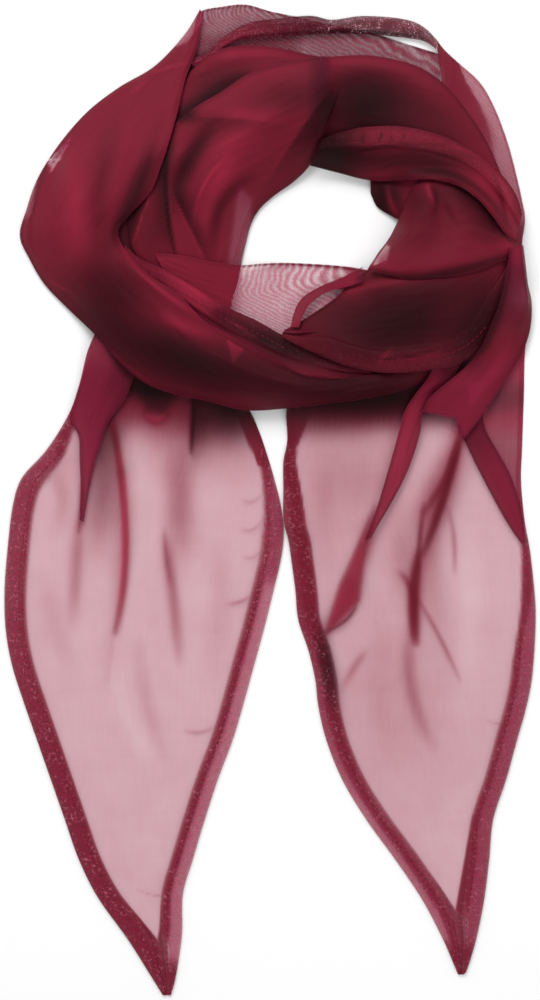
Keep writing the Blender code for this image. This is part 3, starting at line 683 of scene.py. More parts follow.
HOLE_SHEET = rows_of(
    Section,
    (-57, 122, -50, 108, 0.3),
    (-45, 121, -37.5, 98, 0.3),
    (-31, 118.5, -24, 88, 0.3),
    (-15, 117, -12.5, 80, 0.3),
    (-4, 118, 0, 74, 0.2),
    (7.5, 118.5, 15, 71, 0.0),
    (21, 118, 27.5, 74, 0.0),
    (35, 117, 40, 84, 0.0),
    (46, 115.5, 49, 97, 0.0),
    (54, 113.5, 57, 105, 0.0),
)
HOLE_SHEET_PATCHES = rows_of(
    Patch,
    (-60, 124, -14.8, 119, -20.5, 96, -55, 80, 24.0, 0.5, -0.12),
    (-60, 100, -20.5, 104, -20, 96, -55, 80, 24.0, 0.5),
    (36, 107, 48, 107, 36, 92, 12, 82, 1.8, 1.5),
    (27, 105.9, 38.5, 106.6, 50, 112, 46, 116.4, 9.0, 0.6),
)
HOLE_SHEET_CREASES = rows_of(
    Crease,
    (-60, 124, -34, 119.5, -14, 117, 1.0, 0.2, 0.0, -0.2),
    (-18, 116.8, 18, 118.2, 58, 113, 0.7, 0.0, 3.0),
)

FRONT_UNDER = rows_of(
    Section,
    (-72, 126, -74, 113, 0.5),
    (-64, 119, -60, 101, 1.0),
    (-50, 112.5, -47.5, 90, 1.5),
    (-35, 103.5, -32.5, 78, 1.5),
    (-21, 95.5, -17.5, 68, 1.5),
    (-7.5, 89.5, -2.5, 61, 1.5),
    (5, 82.5, 10, 56, 1.5),
    (17.5, 76, 25, 54.5, 1.5),
    (32.5, 70, 40, 55, 1.0),
    (47.5, 67, 55, 57, 0.5),
)
FRONT_UNDER_SHADE_OVALS = rows_of(
    Tone,
    (-55, 108, 10, 6, -35, 0.2),
    (-35, 104, 16, 7, -30, -0.38),
    (-14, 85, 10, 5, -28, -0.3),
    (4, 74, 16, 6, -28, 0.45),
)
FRONT_UNDER_CREASES = rows_of(
    Crease,
    (-28, 95, -8, 83, 50, 60, 5.0, -0.6, 0.0, 1.15),
    (-22, 90, -15, 86, -6, 80.5, 0.7, 0.4, 0.0, -0.8),
    (-60, 116, -44, 108, -24, 96, 1.0, 0.3, 0.0, -0.25),
)

FRONT_BAND = rows_of(
    Section,
    (-35, 245, -33.5, 243, 0.5),
    (-42.5, 233, -35, 234, 1.5),
    (-57.5, 217.5, -37.5, 224, 3.0),
    (-75, 207, -42.5, 210, 4.0),
    (-89, 196.5, -46, 194, 5.0),
    (-100, 185, -49.5, 180, 6.0),
    (-110, 171.5, -53.5, 167, 7.0),
    (-117, 159, -59, 153, 7.5),
    (-121.5, 146, -68, 143, 8.0),
    (-125, 132.5, -75, 135, 8.0),
    (-120, 120.5, -74.5, 128, 8.0),
    (-112.5, 108, -69.5, 120.5, 7.5),
    (-101, 96, -60, 111, 7.0),
    (-87.5, 83, -45, 101, 7.0),
    (-75, 69, -34, 89.5, 6.5),
    (-62, 58.5, -23, 83, 6.0),
    (-47.5, 53, -13.5, 77.5, 6.0),
    (-31, 49.5, -4, 72, 5.5),
    (-12, 45, 6.5, 66.5, 5.0),
    (9, 46, 18, 61.5, 4.5),
    (31, 48.5, 32.5, 60, 4.0),
    (52, 51.5, 52, 62, 3.0),
    (70, 56.5, 68, 65, 2.0),
    (80, 62, 78, 69, 1.0),
)
FRONT_BAND_FOLDS = rows_of(
    Fold,
    (-84, 188, -93, 140, -80, 100, 9.0, 3.0),
    (-62, 200, -66, 175, -74, 150, 6.0, -2.0),
    (-110, 110, -90, 90, -62, 74, 7.0, -2.0),
    (-70, 84, -30, 68, 20, 56, 6.0, 2.0),
)
FRONT_BAND_CREASES = rows_of(
    Crease,
    (-70, 202, -66, 206, -61, 210, 1.5, 0.4, 0.0, -0.15),
    (-59, 213, -50, 216, -41, 218, 1.0, 0.4, 0.0, -0.2),
    (-110, 110, -106, 107, -98, 103, 0.9, 0.5, -0.6, -0.3),
    (-107, 176, -117, 152, -119.5, 128, 0.7, 0.5, 0.0, 0.35),
    (-97, 178, -97, 146, -95, 112, 4.5, 0.9, 0.0, -0.12),
    (-78, 188, -84, 150, -82, 116, 5.0, -0.9, 0.0, 0.25),
    (-68, 190, -73, 166, -84, 140, 4.0, 0.8, 0.0, -0.05),
    (-57, 172, -67, 150, -78, 126, 4.2, -1.2, 0.0, 1.0),
    (-100, 98, -45, 68, 66, 56, 13.0, -0.3, 0.0, 1.1),
    (-54, 92, -44, 86, -28, 80, 3.5, 0.7, 0.0, -0.4),
    (-84, 80, -70, 66, -56, 57, 1.0, 0.3, 0.0, -0.5),
    (-75.5, 129, -60, 108.5, -30, 88, 1.1, 0.3, 0.0, -0.4),
    (-48, 88, -10, 64, 40, 55, 2.0, 0.7, 0.0, -0.1),
    (-55, 190, -60, 172, -68, 152, 2.5, -0.6, 0.0, 0.1),
)
FRONT_BAND_SHADE_OVALS = rows_of(
    Tone,
    (-77, 104, 16, 11, -35, 0.75),
    (-50, 78, 12, 7, -30, 0.30),
    (-36, 68, 14, 6, -25, 0.30),
    (58, 58, 24, 7, 8, 0.6),
    (30, 58, 16, 6, 4, 0.3),
    (-96, 140, 8, 22, 0, -0.12),
)
FRONT_BAND_PATCHES = rows_of(
    Patch,
    (-34, 247, -33, 240, -42, 228, -50, 226, 2.4, 0.9),
    (-99, 181.5, -104.5, 170, -109.5, 163.5, -111.5, 170, 0.3, 0.4, -0.2),
    (-121, 160, -116.5, 160, -118.5, 142, -123, 140, 3.0, 0.8),
    (-21.5, 80, -20.5, 79.5, -13, 74.5, -18.5, 67, 5.0, 0.5, -0.4),
)

LOWER_FOLD = rows_of(
    Section,
    (84, 72, 96, 71, 0.5),
    (79, 61, 91, 61, 2.0),
    (73, 53, 82, 53, 2.5),
    (68, 45, 76, 44, 3.0),
    (65, 35, 75, 35, 3.0),
    (62, 24, 72, 24, 3.0),
    (58, 10, 67, 11, 3.0),
    (53, -6, 59, -4, 2.5),
    (47.5, -20, 50, -19, 1.0),
)
LOWER_FOLD_SHADE_OVALS = rows_of(
    Tone,
    (90, 64, 5, 7, 20, 0.4),
    (83, 53.5, 1.6, 1.2, 20, 0.6),
    (66, 22, 14, 44, 16, -0.22),
    (52, -12, 6, 18, 20, 0.0, -0.7),
)
LOWER_FOLD_CREASES = rows_of(
    Crease,
    (76, 44, 71, 32, 66, 12, 0.8, 0.4, 0.3, 0.2),
)

KNOT = rows_of(
    Section,
    (50.5, 164, 50.5, 154, 1.5),
    (55, 164, 53.5, 147.5, 3.0),
    (61, 164, 60, 143, 3.5),
    (67.5, 164, 66, 140.5, 3.0),
    (75, 164, 75, 142, 1.5),
)
KNOT_CREASES = rows_of(
    Crease,
    (59, 157, 60, 149, 64.5, 141, 1.8, 1.2, 0.0, -0.9),
    (55, 158, 55.5, 149, 60, 143.5, 1.4, -1.0, 0.0, 0.2),
)
KNOT_SHADE_OVALS = rows_of(
    Tone,
    (56, 152, 9, 12, 0, 1.3),
    (70, 152, 4, 8, 0, -0.3),
)

COWL = rows_of(
    Section,
    (7, 84.5, 5.5, 81.5, 0.5),
    (13, 87.5, 15, 76.5, 1.5),
    (22.5, 93.5, 26, 71.5, 3.0),
    (32.5, 100.5, 39, 66.5, 4.0),
    (41, 108.5, 54, 63.5, 5.0),
    (51, 116, 67.5, 63.5, 6.0),
    (63, 121, 80, 65, 6.5),
    (78, 124, 91, 67, 6.5),
    (92, 126, 100, 72, 6.0),
    (104, 127, 109, 82, 5.0),
    (113, 127, 115, 97.5, 3.5),
    (118.5, 124, 119, 114, 1.5),
)
COWL_CREASES = rows_of(
    Crease,
    (10, 84, 62, 90, 116, 104, 22.0, 0.0, 0.0, 1.0),
    (30, 103, 60, 108, 112, 116, 2.6, 0.5, 0.0, -0.4),
    (53.5, 68, 57, 71.5, 61, 76, 0.7, 0.5, 0.0, -0.8),
    (54, 69, 72, 70, 88, 74, 3.0, 0.3, 0.0, -0.35),
    (50, 69.5, 66, 70.5, 84, 75.5, 0.6, -0.3, 0.0, 0.5),
    (48, 108, 76, 104, 106, 112, 5.0, 0.9, 0.0, 0.0),
    (60, 72, 80, 76, 104, 92, 4.0, 0.9, 0.0, 0.0),
)
COWL_SHADE_OVALS = rows_of(
    Tone,
    (68, 86, 20, 12, 15, 0.45),
    (40, 103, 9, 5, -20, -0.2),
    (88, 94, 12, 5, 20, -0.2),
    (104, 86, 9, 18, -20, 0.7),
    (30, 86, 12, 8, 0, -0.1),
)

ROLLED_EDGE = rows_of(
    Section,
    (48, 117, 54, 111, 0.6),
    (37.5, 111.5, 40, 107, 1.0),
    (27.5, 107.5, 29, 104.5, 1.2),
    (19, 103, 22.5, 100.5, 1.5),
    (14.5, 98.5, 18.5, 96.5, 1.5),
    (12, 92.5, 16, 91.5, 1.5),
    (10.5, 86, 14, 86, 1.0),
)
ROLLED_EDGE_PATCHES = rows_of(
    Patch,
    (44, 124, 60, 124, 60, 100, 44, 100, 0.02, 5.0, 0.9),
)

TWIST = rows_of(
    Section,
    (54, 123.5, 49, 114.8, 1.0),
    (60, 131.5, 55, 113, 3.0),
    (65.5, 143, 63, 110.5, 5.0),
    (71, 156, 72.5, 109.5, 7.0),
    (81, 162, 82.5, 110, 8.0),
    (92.5, 158, 94, 111.5, 7.5),
    (103, 152, 105, 114.5, 6.0),
    (112, 142, 115, 119, 4.0),
    (118.5, 134, 121, 122.5, 2.0),
    (122.5, 128.5, 124, 125.5, 0.5),
)
TWIST_FOLDS = rows_of(
    Fold,
    (75, 158, 73, 138, 62, 118, 6.0, 3.0),
    (88, 150, 100, 138, 117, 130, 6.0, 2.0),
    (84, 150, 84, 135, 80, 115, 5.0, -2.5),
)
TWIST_CREASES = rows_of(
    Crease,
    (78, 158, 79, 152, 83, 145, 1.6, 0.9, 0.0, -0.45),
    (81, 156, 82.5, 149, 82, 141, 1.5, -0.7, 0.0, 0.4),
    (90, 158, 106, 149, 117, 134, 4.5, -0.8, 0.0, 1.3),
    (55, 113, 80, 110.5, 122, 123, 2.2, -0.4, 0.0, 0.8),
    (84, 152, 88, 142, 94, 134, 1.6, -0.8, 0.0, 0.1),
    (98, 134, 110, 131, 121, 128, 1.8, 0.8, 0.0, -0.1),
)
TWIST_SHADE_OVALS = rows_of(
    Tone,
    (72, 150, 4, 8, 15, 0.35),
    (101, 147, 16, 7, -38, 0.6),
    (110, 134, 10, 6, -10, 0.35),
    (80, 150, 10, 10, 0, 0.25),
    (75, 134, 14, 12, 0, 0.25),
    (120, 128, 6, 5, 0, -0.4),
)
TWIST_PATCHES = rows_of(
    Patch,
    (58, 128, 60, 126, 58, 117, 50, 116, 2.2, 1.0),
)

COLLAR = rows_of(
    Section,
    (26.2, 178.8, 20.0, 166.9, 1.0),
    (37.5, 183, 35, 163.5, 2.0),
    (49, 185, 50, 160, 3.0),
    (65, 185, 65, 159.5, 4.0),
    (80, 182, 80, 159, 4.5),
    (94, 176.5, 92.5, 156, 5.0),
    (106, 169, 102.5, 149.5, 5.0),
    (116, 160.5, 110, 141, 4.0),
    (123, 151, 117, 132, 2.5),
    (125.7, 142, 122, 128.5, 1.0),
)
COLLAR_CREASES = rows_of(
    Crease,
    (46.5, 182, 46, 179, 45, 176.5, 0.8, -0.4, 0.0, 0.55),
    (55.5, 182.5, 55, 180, 53.5, 177.5, 0.8, -0.4, 0.0, 0.6),
    (60.5, 181, 60, 179, 59, 176.5, 0.6, -0.4, 0.0, 0.35),
    (67, 182, 66, 179.5, 64, 176.5, 0.6, -0.4, 0.0, 0.5),
    (71, 181, 70.5, 179, 70, 177.5, 0.5, -0.4, 0.0, 0.3),
    (34, 170.5, 56, 175, 90, 176, 0.7, -0.3, 0.0, 0.4),
    (88, 175.5, 100, 172, 112, 163, 0.6, 0.4, 0.0, -0.3),
    (60, 160, 92, 160, 118, 136, 2.0, 0.0, 0.0, 0.7),
    (113, 160, 118, 150, 120.5, 139, 3.0, 0.4, 0.0, -0.2),
    (110, 162, 115, 150, 117, 138, 1.2, -0.5, 0.0, 0.3),
)
COLLAR_SHADE_OVALS = rows_of(
    Tone,
    (29, 173, 12, 12, 20, 1.5),
    (60, 169, 24, 5, 0, 0.7),
    (85, 166, 14, 6, -12, 0.45),
    (106, 156, 12, 10, -45, -0.2),
)

SHOULDER = rows_of(
    Section,
    (119.5, 125, 125.5, 126.5, 0.5),
    (117.5, 112.5, 128, 110, 1.5),
    (115, 100, 130.5, 99, 2.5),
    (111, 89, 130, 86.5, 3.5),
    (106, 77.5, 126.5, 75, 4.0),
    (100, 68.5, 120, 63.5, 4.0),
    (91, 60.5, 114, 54.5, 4.0),
    (81.5, 52.5, 108, 45.5, 3.5),
    (78, 48, 104, 40, 2.5),
    (76.5, 44, 97, 31, 1.0),
)
SHOULDER_CREASES = rows_of(
    Crease,
    (124, 116, 127, 98, 118, 76, 3.0, 0.8, -0.4, 0.1),
    (119, 122, 114, 94, 100, 66, 2.2, -0.6, 0.0, 0.55),
    (124, 84, 114, 66, 100, 48, 3.0, 0.7, 0.0, -0.1),
)
SHOULDER_SHADE_OVALS = rows_of(
    Tone,
    (110, 84, 3.5, 16, -25, 0.3),
    (123, 102, 6, 16, 0, 0.35, -1.8),
    (121, 123, 5, 6, 0, -0.22),
    (119, 82, 3.0, 14, -24, 0.0, -1.6),
)
SHOULDER_PATCHES = rows_of(
    Patch,
    (97, 59, 108, 59, 103, 50, 100, 47, 3.0, 0.6),
    (96, 92, 134, 92, 134, 68, 94, 73, 7.5, 14.0),
    (74.5, 45.0, 93, 41.1, 98.5, 26.6, 74.5, 22, 0.02, 1.5, 0.6),
)
HEM_STARTS = rows_of(
    HemStart,
    ("left_tail", 0, 43.0, 11.0, 0.35),
    ("left_tail", 1, 27.0, -18.0, 0.25),
    ("right_tail", 0, 27.0, -6.0, 0.40),
    ("right_tail", 1, -18.0, -80.0, 0.25),
)
HEM_LOOKS = rows_of(
    HemLook,
    ("left_tail", 0, 3.9, 5.2, 0.80, 0.9, 1.5),
    ("left_tail", 1, 2.1, 4.9, 0.55, 0.8, 0.2),
    ("right_tail", 0, 5.2, 7.6, 0.36, 0.7, -2.8),
    ("right_tail", 1, 3.2, 4.9, 0.66, 0.6, 0.3),
    ("front_under", 0, 3.0, 3.0, 0.5, 0.1, 0.0),
    ("cowl", 1, 3.0, 3.0, 0.5, 0.1, 0.0),
    ("collar", 0, 3.0, 3.0, 0.5, 0.1, 0.0),
)
STITCH_ROWS = rows_of(
    StitchRow,
    ("left_tail", 0, 7.0, 0.16, 0.985),
    ("left_tail", 1, 7.0, 0.21, 0.985),
    ("right_tail", 0, 7.0, 0.24, 0.985),
    ("right_tail", 1, 7.0, 0.44, 0.985),
    ("front_under", 0, 6.5, 0.10, 0.72),
    ("front_band", 0, 3.4, 0.23, 0.40),
    ("collar", 0, 7.5, 0.14, 0.88),
    ("cowl", 1, 6.0, 0.34, 0.86),
)
LIGHTS = rows_of(
    SoftLight,
    ("key_light", (-0.35, 1.15, 1.05), (0.0, 0.05, 0.0), 0.9, 17.0),
    ("fill_light", (0.9, -0.9, 1.4), (0.0, 0.0, 0.0), 1.6, 7.0),
)
FINISHES = {
    "plain": Finish(0.0),
    "tail": Finish(0.32, 620),
    "hemmed": Finish(0.3, 620),
    "crinkled": Finish(1.0),
    "moire_opening": Finish(0.0, 1100, -6, 104, -0.66, 0.24, -0.42, -0.90, 1.95, 0.50),
    "moire_side": Finish(0.0, 1100, 96, 214, -0.75, -0.45, -0.5, -0.6, 1.5, 0.14),
    "moire_back": Finish(0.35, 1100, -18, 244, -0.75, 0.25, -0.5, -0.85, 1.7, 0.40),
}

HEM_LEFT, HEM_RIGHT, HEM_BOTH = (True, False), (False, True), (True, True)
STRETCHES = [
    Stretch(
        "back_sheet", BACK_SHEET, 4, "sheer_chiffon", 1.0, "moire_back", turns=(0.8, 0, 0, 0), crepe=0.2,
        creases=BACK_SHEET_CREASES, tones=BACK_SHEET_SHADE_OVALS, patches=BACK_SHEET_PATCHES,
        lies_on=("hidden_layers",),
    ),
    Stretch(
        "right_sheet", RIGHT_SHEET, 4, "sheer_chiffon", 1.9, "moire_side", turns=(0.8, 0, 0, 0),
        rims=(0.1, 0.1), creases=RIGHT_SHEET_CREASES, patches=RIGHT_SHEET_PATCHES, lies_on=("hidden_layers",),
    ),
    Stretch(
        "edge_roll", EDGE_ROLL, 4, "bunched_chiffon", 4.6, "crinkled", cell=7.0, turns=(1.5, 1.5, 0, 0),
        crepe=0.25, creases=EDGE_ROLL_CREASES, tones=EDGE_ROLL_SHADE_OVALS, patches=EDGE_ROLL_PATCHES,
        lies_on=("back_sheet",),
    ),
    Stretch(
        "left_tail", LEFT_TAIL, 10, "sheer_chiffon", 1.0, "tail", hems=HEM_BOTH, turns=(9.0, 9.0, 0, 1.0),
        rims=(0.1, 0.1), folds=LEFT_TAIL_FOLDS, creases=LEFT_TAIL_CREASES, tones=LEFT_TAIL_SHADE_OVALS,
        patches=LEFT_TAIL_PATCHES, lies_on=("hidden_layers",),
    ),
    Stretch(
        "right_tail", RIGHT_TAIL, 10, "sheer_chiffon", 1.0, "tail", hems=HEM_BOTH, turns=(9.0, 9.0, 0, 1.0),
        rims=(0.1, 0.1), folds=RIGHT_TAIL_FOLDS, creases=RIGHT_TAIL_CREASES, tones=RIGHT_TAIL_SHADE_OVALS,
        patches=RIGHT_TAIL_PATCHES, lies_on=("hidden_layers", "right_sheet"),
    ),
    Stretch(
        "left_tail_flap", LEFT_TAIL_FLAP, 4, "folded_chiffon", 3.4, turns=(2.0, 2.0, 0, 0), flatter=0.5,
        creases=LEFT_TAIL_FLAP_CREASES, tones=LEFT_TAIL_FLAP_SHADE_OVALS, lies_on=("left_tail",),
    ),
    Stretch(
        "diagonal_fold", DIAGONAL_FOLD, 4, "folded_chiffon", 4.2, turns=(1.0, 1.0, 0, 0), flatter=0.7,
        tones=DIAGONAL_FOLD_SHADE_OVALS, lies_on=("right_tail",),
    ),
    Stretch(
        "back_loop", BACK_LOOP, 4, "bunched_chiffon", 7.0, turns=(3.0, 3.0, 0, 0),
        creases=BACK_LOOP_CREASES, tones=BACK_LOOP_SHADE_OVALS, lies_on=("back_sheet", "hidden_layers"),
    ),
    Stretch(
        "back_band", BACK_BAND, 5, "shaded_chiffon", 7.0, turns=(3.0, 0, 0, 0),
        creases=BACK_BAND_CREASES, tones=BACK_BAND_SHADE_OVALS, lies_on=("back_loop", "back_sheet"),
    ),
    Stretch(
        "inner_band", INNER_BAND, 8, "bunched_chiffon", 7.0, turns=(3.0, 4.0, 0, 0), folds=INNER_BAND_FOLDS,
        creases=INNER_BAND_CREASES, tones=INNER_BAND_SHADE_OVALS, patches=INNER_BAND_PATCHES,
        lies_on=("hidden_layers", "back_band"),
    ),
    Stretch(
        "hole_sheet", HOLE_SHEET, 5, "sheer_chiffon", 1.35, "moire_opening", turns=(0.8, 0, 0, 0),
        creases=HOLE_SHEET_CREASES, patches=HOLE_SHEET_PATCHES, lies_on=("inner_band",),
    ),
    Stretch(
        "front_under", FRONT_UNDER, 4, "bunched_chiffon", 7.0, "hemmed", hems=HEM_LEFT, turns=(8.0, 0, 0, 0),
        creases=FRONT_UNDER_CREASES, tones=FRONT_UNDER_SHADE_OVALS, lies_on=("hole_sheet", "inner_band"),
    ),
    Stretch(
        "front_band", FRONT_BAND, 8, "folded_chiffon", 7.0, turns=(5.0, 4.0, 1.0, 0), rims=(0.2, 0.1),
        folds=FRONT_BAND_FOLDS, creases=FRONT_BAND_CREASES, tones=FRONT_BAND_SHADE_OVALS,
        patches=FRONT_BAND_PATCHES, lies_on=("front_under", "left_tail"),
    ),
    Stretch(
        "knot", KNOT, 5, "shaded_chiffon", 9.0, cell=6.0, turns=(0, 1.5, 1.5, 0),
        creases=KNOT_CREASES, tones=KNOT_SHADE_OVALS, lies_on=("hidden_layers",),
    ),
    Stretch(
        "lower_fold", LOWER_FOLD, 4, "folded_chiffon", 4.6, turns=(1.5, 1.5, 0, 0), flatter=0.7,
        creases=LOWER_FOLD_CREASES, tones=LOWER_FOLD_SHADE_OVALS, lies_on=("right_tail", "front_band"),
    ),
    Stretch(
        "cowl", COWL, 6, "shaded_chiffon", 8.0, "hemmed", hems=HEM_RIGHT, turns=(2.0, 8.0, 0, 0),
        creases=COWL_CREASES, tones=COWL_SHADE_OVALS, lies_on=("front_band", "hidden_layers"),
    ),
    Stretch(
        "rolled_edge", ROLLED_EDGE, 3, "folded_chiffon", 5.4, cell=6.0, turns=(0.4, 0.4, 0, 0),
        rims=(0.0, 0.0), flatter=1.0, patches=ROLLED_EDGE_PATCHES, lies_on=("hole_sheet", "cowl"),
    ),
    Stretch(
        "twist", TWIST, 6, "folded_chiffon", 7.0, cell=8.0, turns=(2.0, 3.0, 1.5, 0), folds=TWIST_FOLDS,
        creases=TWIST_CREASES, tones=TWIST_SHADE_OVALS, patches=TWIST_PATCHES, lies_on=("cowl", "knot"),
    ),
    Stretch(
        "collar", COLLAR, 5, "bunched_chiffon", 8.0, "hemmed", hems=HEM_LEFT, turns=(8.0, 3.0, 0, 0),
        creases=COLLAR_CREASES, tones=COLLAR_SHADE_OVALS, lies_on=("twist", "back_band"),
    ),
    Stretch(
        "shoulder", SHOULDER, 4, "folded_chiffon", 4.6, turns=(2.0, 2.0, 0, 1.0), flatter=0.4,
        creases=SHOULDER_CREASES, tones=SHOULDER_SHADE_OVALS, patches=SHOULDER_PATCHES,
        lies_on=("cowl", "right_tail"),
    ),
]
BY_NAME = {one.name: one for one in STRETCHES}


# ---------------------------------------------------------------------------- curves and shares


def between_rows(rows, steps):
    """Rows of numbers on a smooth curve (Catmull-Rom) through the given ones, steps of them to a row."""
    rows = np.array(rows, dtype=float)
    return read_smoothly(rows, np.arange((len(rows) - 1) * steps + 1) / steps)


def read_smoothly(values, places):
    """Values read at fractional places along their first axis, on a smooth curve (Catmull-Rom)."""
    last = len(values) - 1
    cell = np.clip(np.floor(places).astype(int), 0, last - 1)
    t = (places - cell).reshape((-1,) + (1,) * (values.ndim - 1))
    before, here, there, after = (values[np.clip(cell + k, 0, last)] for k in (-1, 0, 1, 2))
    return 0.5 * (
        2 * here
        + (there - before) * t
        + (2 * before - 5 * here + 4 * there - after) * t**2
        + (3 * here - before - 3 * there + after) * t**3
    )


def run_along(points):
    """The distance from the first point to each, along the line through them."""
    return np.concatenate([[0.0], np.cumsum(np.linalg.norm(np.diff(points, axis=0), axis=1))])


def middle_run(rows):
    """The distance from the first section to each, along their middles."""
    return run_along((rows[:, 0:2] + rows[:, 2:4]) / 2)


def plan_reach(points, axis):
    """The distance of each point from the first of its line, along the line and seen from above."""
    plan = points[..., :2]
    steps = np.diff(plan, axis=axis, prepend=np.take(plan, [0], axis=axis))
    return np.cumsum(np.linalg.norm(steps, axis=-1), axis=axis)


def evenly(rows, cell, finer=1):
    """The curve through the rows, read at even distances of about cell along its middle."""
    fine = between_rows(rows, CURVE_STEPS)
    run = middle_run(fine)
    cells = max(3, round(run[-1] / cell)) * finer
    wanted = np.linspace(0.0, run[-1], cells + 1)
    return np.stack([np.interp(wanted, run, column) for column in fine.T], axis=1)


def share_of(value):
    """A value kept between 0 and 1."""
    return np.clip(value, 0.0, 1.0)


def dome(share):
    """The form of a crown over a section: 1 in its middle and 0 at its edges."""
    return (1 - np.clip(2 * share - 1, -1, 1) ** 2) ** DOME_POWER


def along_line(line, points):
    """Each point's distance from a line through three points, its share of the run, and its signed distance.

    The signed distance is above 0 on the left of the run.
    """
    start, middle, end = np.array(line[:6], dtype=float).reshape(3, 2)
    control = 2 * middle - (start + end) / 2
    t = np.linspace(0.0, 1.0, CURVE_STEPS + 1)[:, None]
    places = (1 - t) ** 2 * start + 2 * t * (1 - t) * control + t**2 * end
    steps = np.diff(places, axis=0)
    reach = points[..., None, :2] - places[:-1]
    part = share_of((reach * steps).sum(-1) / (steps * steps).sum(-1))
    away = np.linalg.norm(reach - part[..., None] * steps, axis=-1)
    nearest = away.argmin(axis=-1)[..., None]
    turned = steps[:, 0] * reach[..., 1] - steps[:, 1] * reach[..., 0]
    away, part, turned = (np.take_along_axis(one, nearest, -1)[..., 0] for one in (away, part, turned))
    return away, (nearest[..., 0] + part) / len(steps), np.where(turned > 0, away, -away)


def half_wave(place, end):
    """A form that is 1 in the middle of a run and falls towards its two ends."""
    return np.sin(np.pi * (end + (1 - 2 * end) * place))


def fold_height(fold, points):
    """How far a fold raises each point: most along its middle line, fading to its sides and ends."""
    away, place, _ = along_line(fold, points)
    return fold.height * half_wave(place, FOLD_END) * np.exp(-((away / fold.width) ** 2))


def crease_share(crease, points):
    """How much of a crease's effect each point has: most along its run, fading to its sides and ends."""
    away, place, side = along_line(crease, points)
    line = half_wave(place, CREASE_END) ** CREASE_BLUNT * np.exp(-((away / crease.width) ** 2))
    if crease.side:
        line = line * share_of(0.5 - crease.side * side / CREASE_CUT)
    return line


def shade_oval_share(shade_oval, points):
    """How much of a shade oval's painted shade, painted highlight and layers each point has."""
    turn = math.radians(shade_oval.turn)
    x, y = points[..., 0] - shade_oval.x, points[..., 1] - shade_oval.y
    u = (x * math.cos(turn) + y * math.sin(turn)) / shade_oval.reach_x
    v = (y * math.cos(turn) - x * math.sin(turn)) / shade_oval.reach_y
    return np.exp(-(u * u + v * v) * SHADE_OVAL_FADE)


def patch_share(patch, points):
    """How far each point is inside a four-cornered patch, from 0 outside to 1 inside."""
    corners = np.array(patch[:8], dtype=float).reshape(4, 2)
    following = np.roll(corners, -1, axis=0)
    turn = np.sum(corners[:, 0] * following[:, 1] - corners[:, 1] * following[:, 0])
    nearest = np.full(points.shape[:2], 1e9)
    for here, there in zip(corners, following):
        step = there - here
        side = step[0] * (points[..., 1] - here[1]) - step[1] * (points[..., 0] - here[0])
        nearest = np.minimum(nearest, side / np.linalg.norm(step) * np.sign(turn))
    return share_of(nearest / patch.soft + 0.5)


def waves(across, along, seed):
    """An uneven ripple of about unit height that runs along the cloth."""
    pick = np.random.default_rng(seed)
    total = np.zeros_like(across)
    for size in RIPPLES:
        for _ in range(3):
            turn = pick.normal(0.0, 0.22)
            place = across * math.cos(turn) + along * math.sin(turn)
            slow = np.sin(along / pick.uniform(22, 45) + pick.uniform(0, 6.28))
            length = size * pick.uniform(0.8, 1.3)
            total += slow * np.sin(place * 2 * math.pi / length + pick.uniform(0, 6.28))
    return total / 3.0


# ---------------------------------------------------------------------------- the laid form


class Laid:
    """The height of all that has been laid, on a square grid over the table."""

    def __init__(self):
        across = int(2 * GRID_HALF_WIDTH / GRID_CELL) + 1
        along = int(2 * GRID_HALF_LENGTH / GRID_CELL) + 1
        self.height = np.full((across, along), -GAP)
        corner = range(LATTICE + 1)
        weights = [(i, j, LATTICE - i - j) for i in corner for j in corner if i + j <= LATTICE]
        self.weights = np.array(weights) / float(LATTICE)

    def cells(self, points):
        """The grid cell under each point."""
        at_x = np.round((points[..., 0] + GRID_HALF_WIDTH) / GRID_CELL).astype(int)
        at_y = np.round((points[..., 1] + GRID_HALF_LENGTH) / GRID_CELL).astype(int)
        return at_x, at_y

    def samples(self, points, triangles):
        """Points spread over each triangle."""
        return np.einsum("sk,tkc->tsc", self.weights, points[triangles])

    def under(self, points):
        """The height at each point."""
        return self.height[self.cells(points)]

    def shortfall(self, points, triangles):
        """How far each triangle would have to rise to clear what is laid."""
        spread = self.samples(points, triangles)
        return (self.under(spread) + GAP - spread[..., 2]).max(axis=1)

    def add(self, points, triangles):
        """Lays a surface, widened by one cell so that slopes between cells stay covered."""
        spread = self.samples(points, triangles).reshape(-1, 3)
        layer = np.full_like(self.height, -1000.0)
        np.maximum.at(layer, self.cells(spread), spread[:, 2])
        for step_x in (-1, 0, 1):
            for step_y in (-1, 0, 1):
                self.height = np.maximum(self.height, np.roll(layer, (step_x, step_y), axis=(0, 1)))


def grid_triangles(rows, columns):
    """Two triangles to each cell of a grid of points."""
    at = np.arange(rows * columns).reshape(rows, columns)
    a, b, c, d = at[:-1, :-1], at[:-1, 1:], at[1:, 1:], at[1:, :-1]
    return np.concatenate([np.stack(corners, -1).reshape(-1, 3) for corners in ([a, d, c], [a, c, b])])


def taut(floor):
    """Cloth pulled gently over a floor of heights: it bridges hollows and never goes below the floor."""
    height = floor.copy()
    for _ in range(TAUT_ROUNDS):
        padded = np.pad(height, 1, mode="edge")
        around = padded[:-2, 1:-1] + padded[2:, 1:-1] + padded[1:-1, :-2] + padded[1:-1, 2:]
        height = np.maximum(floor, around / 4)
    return height


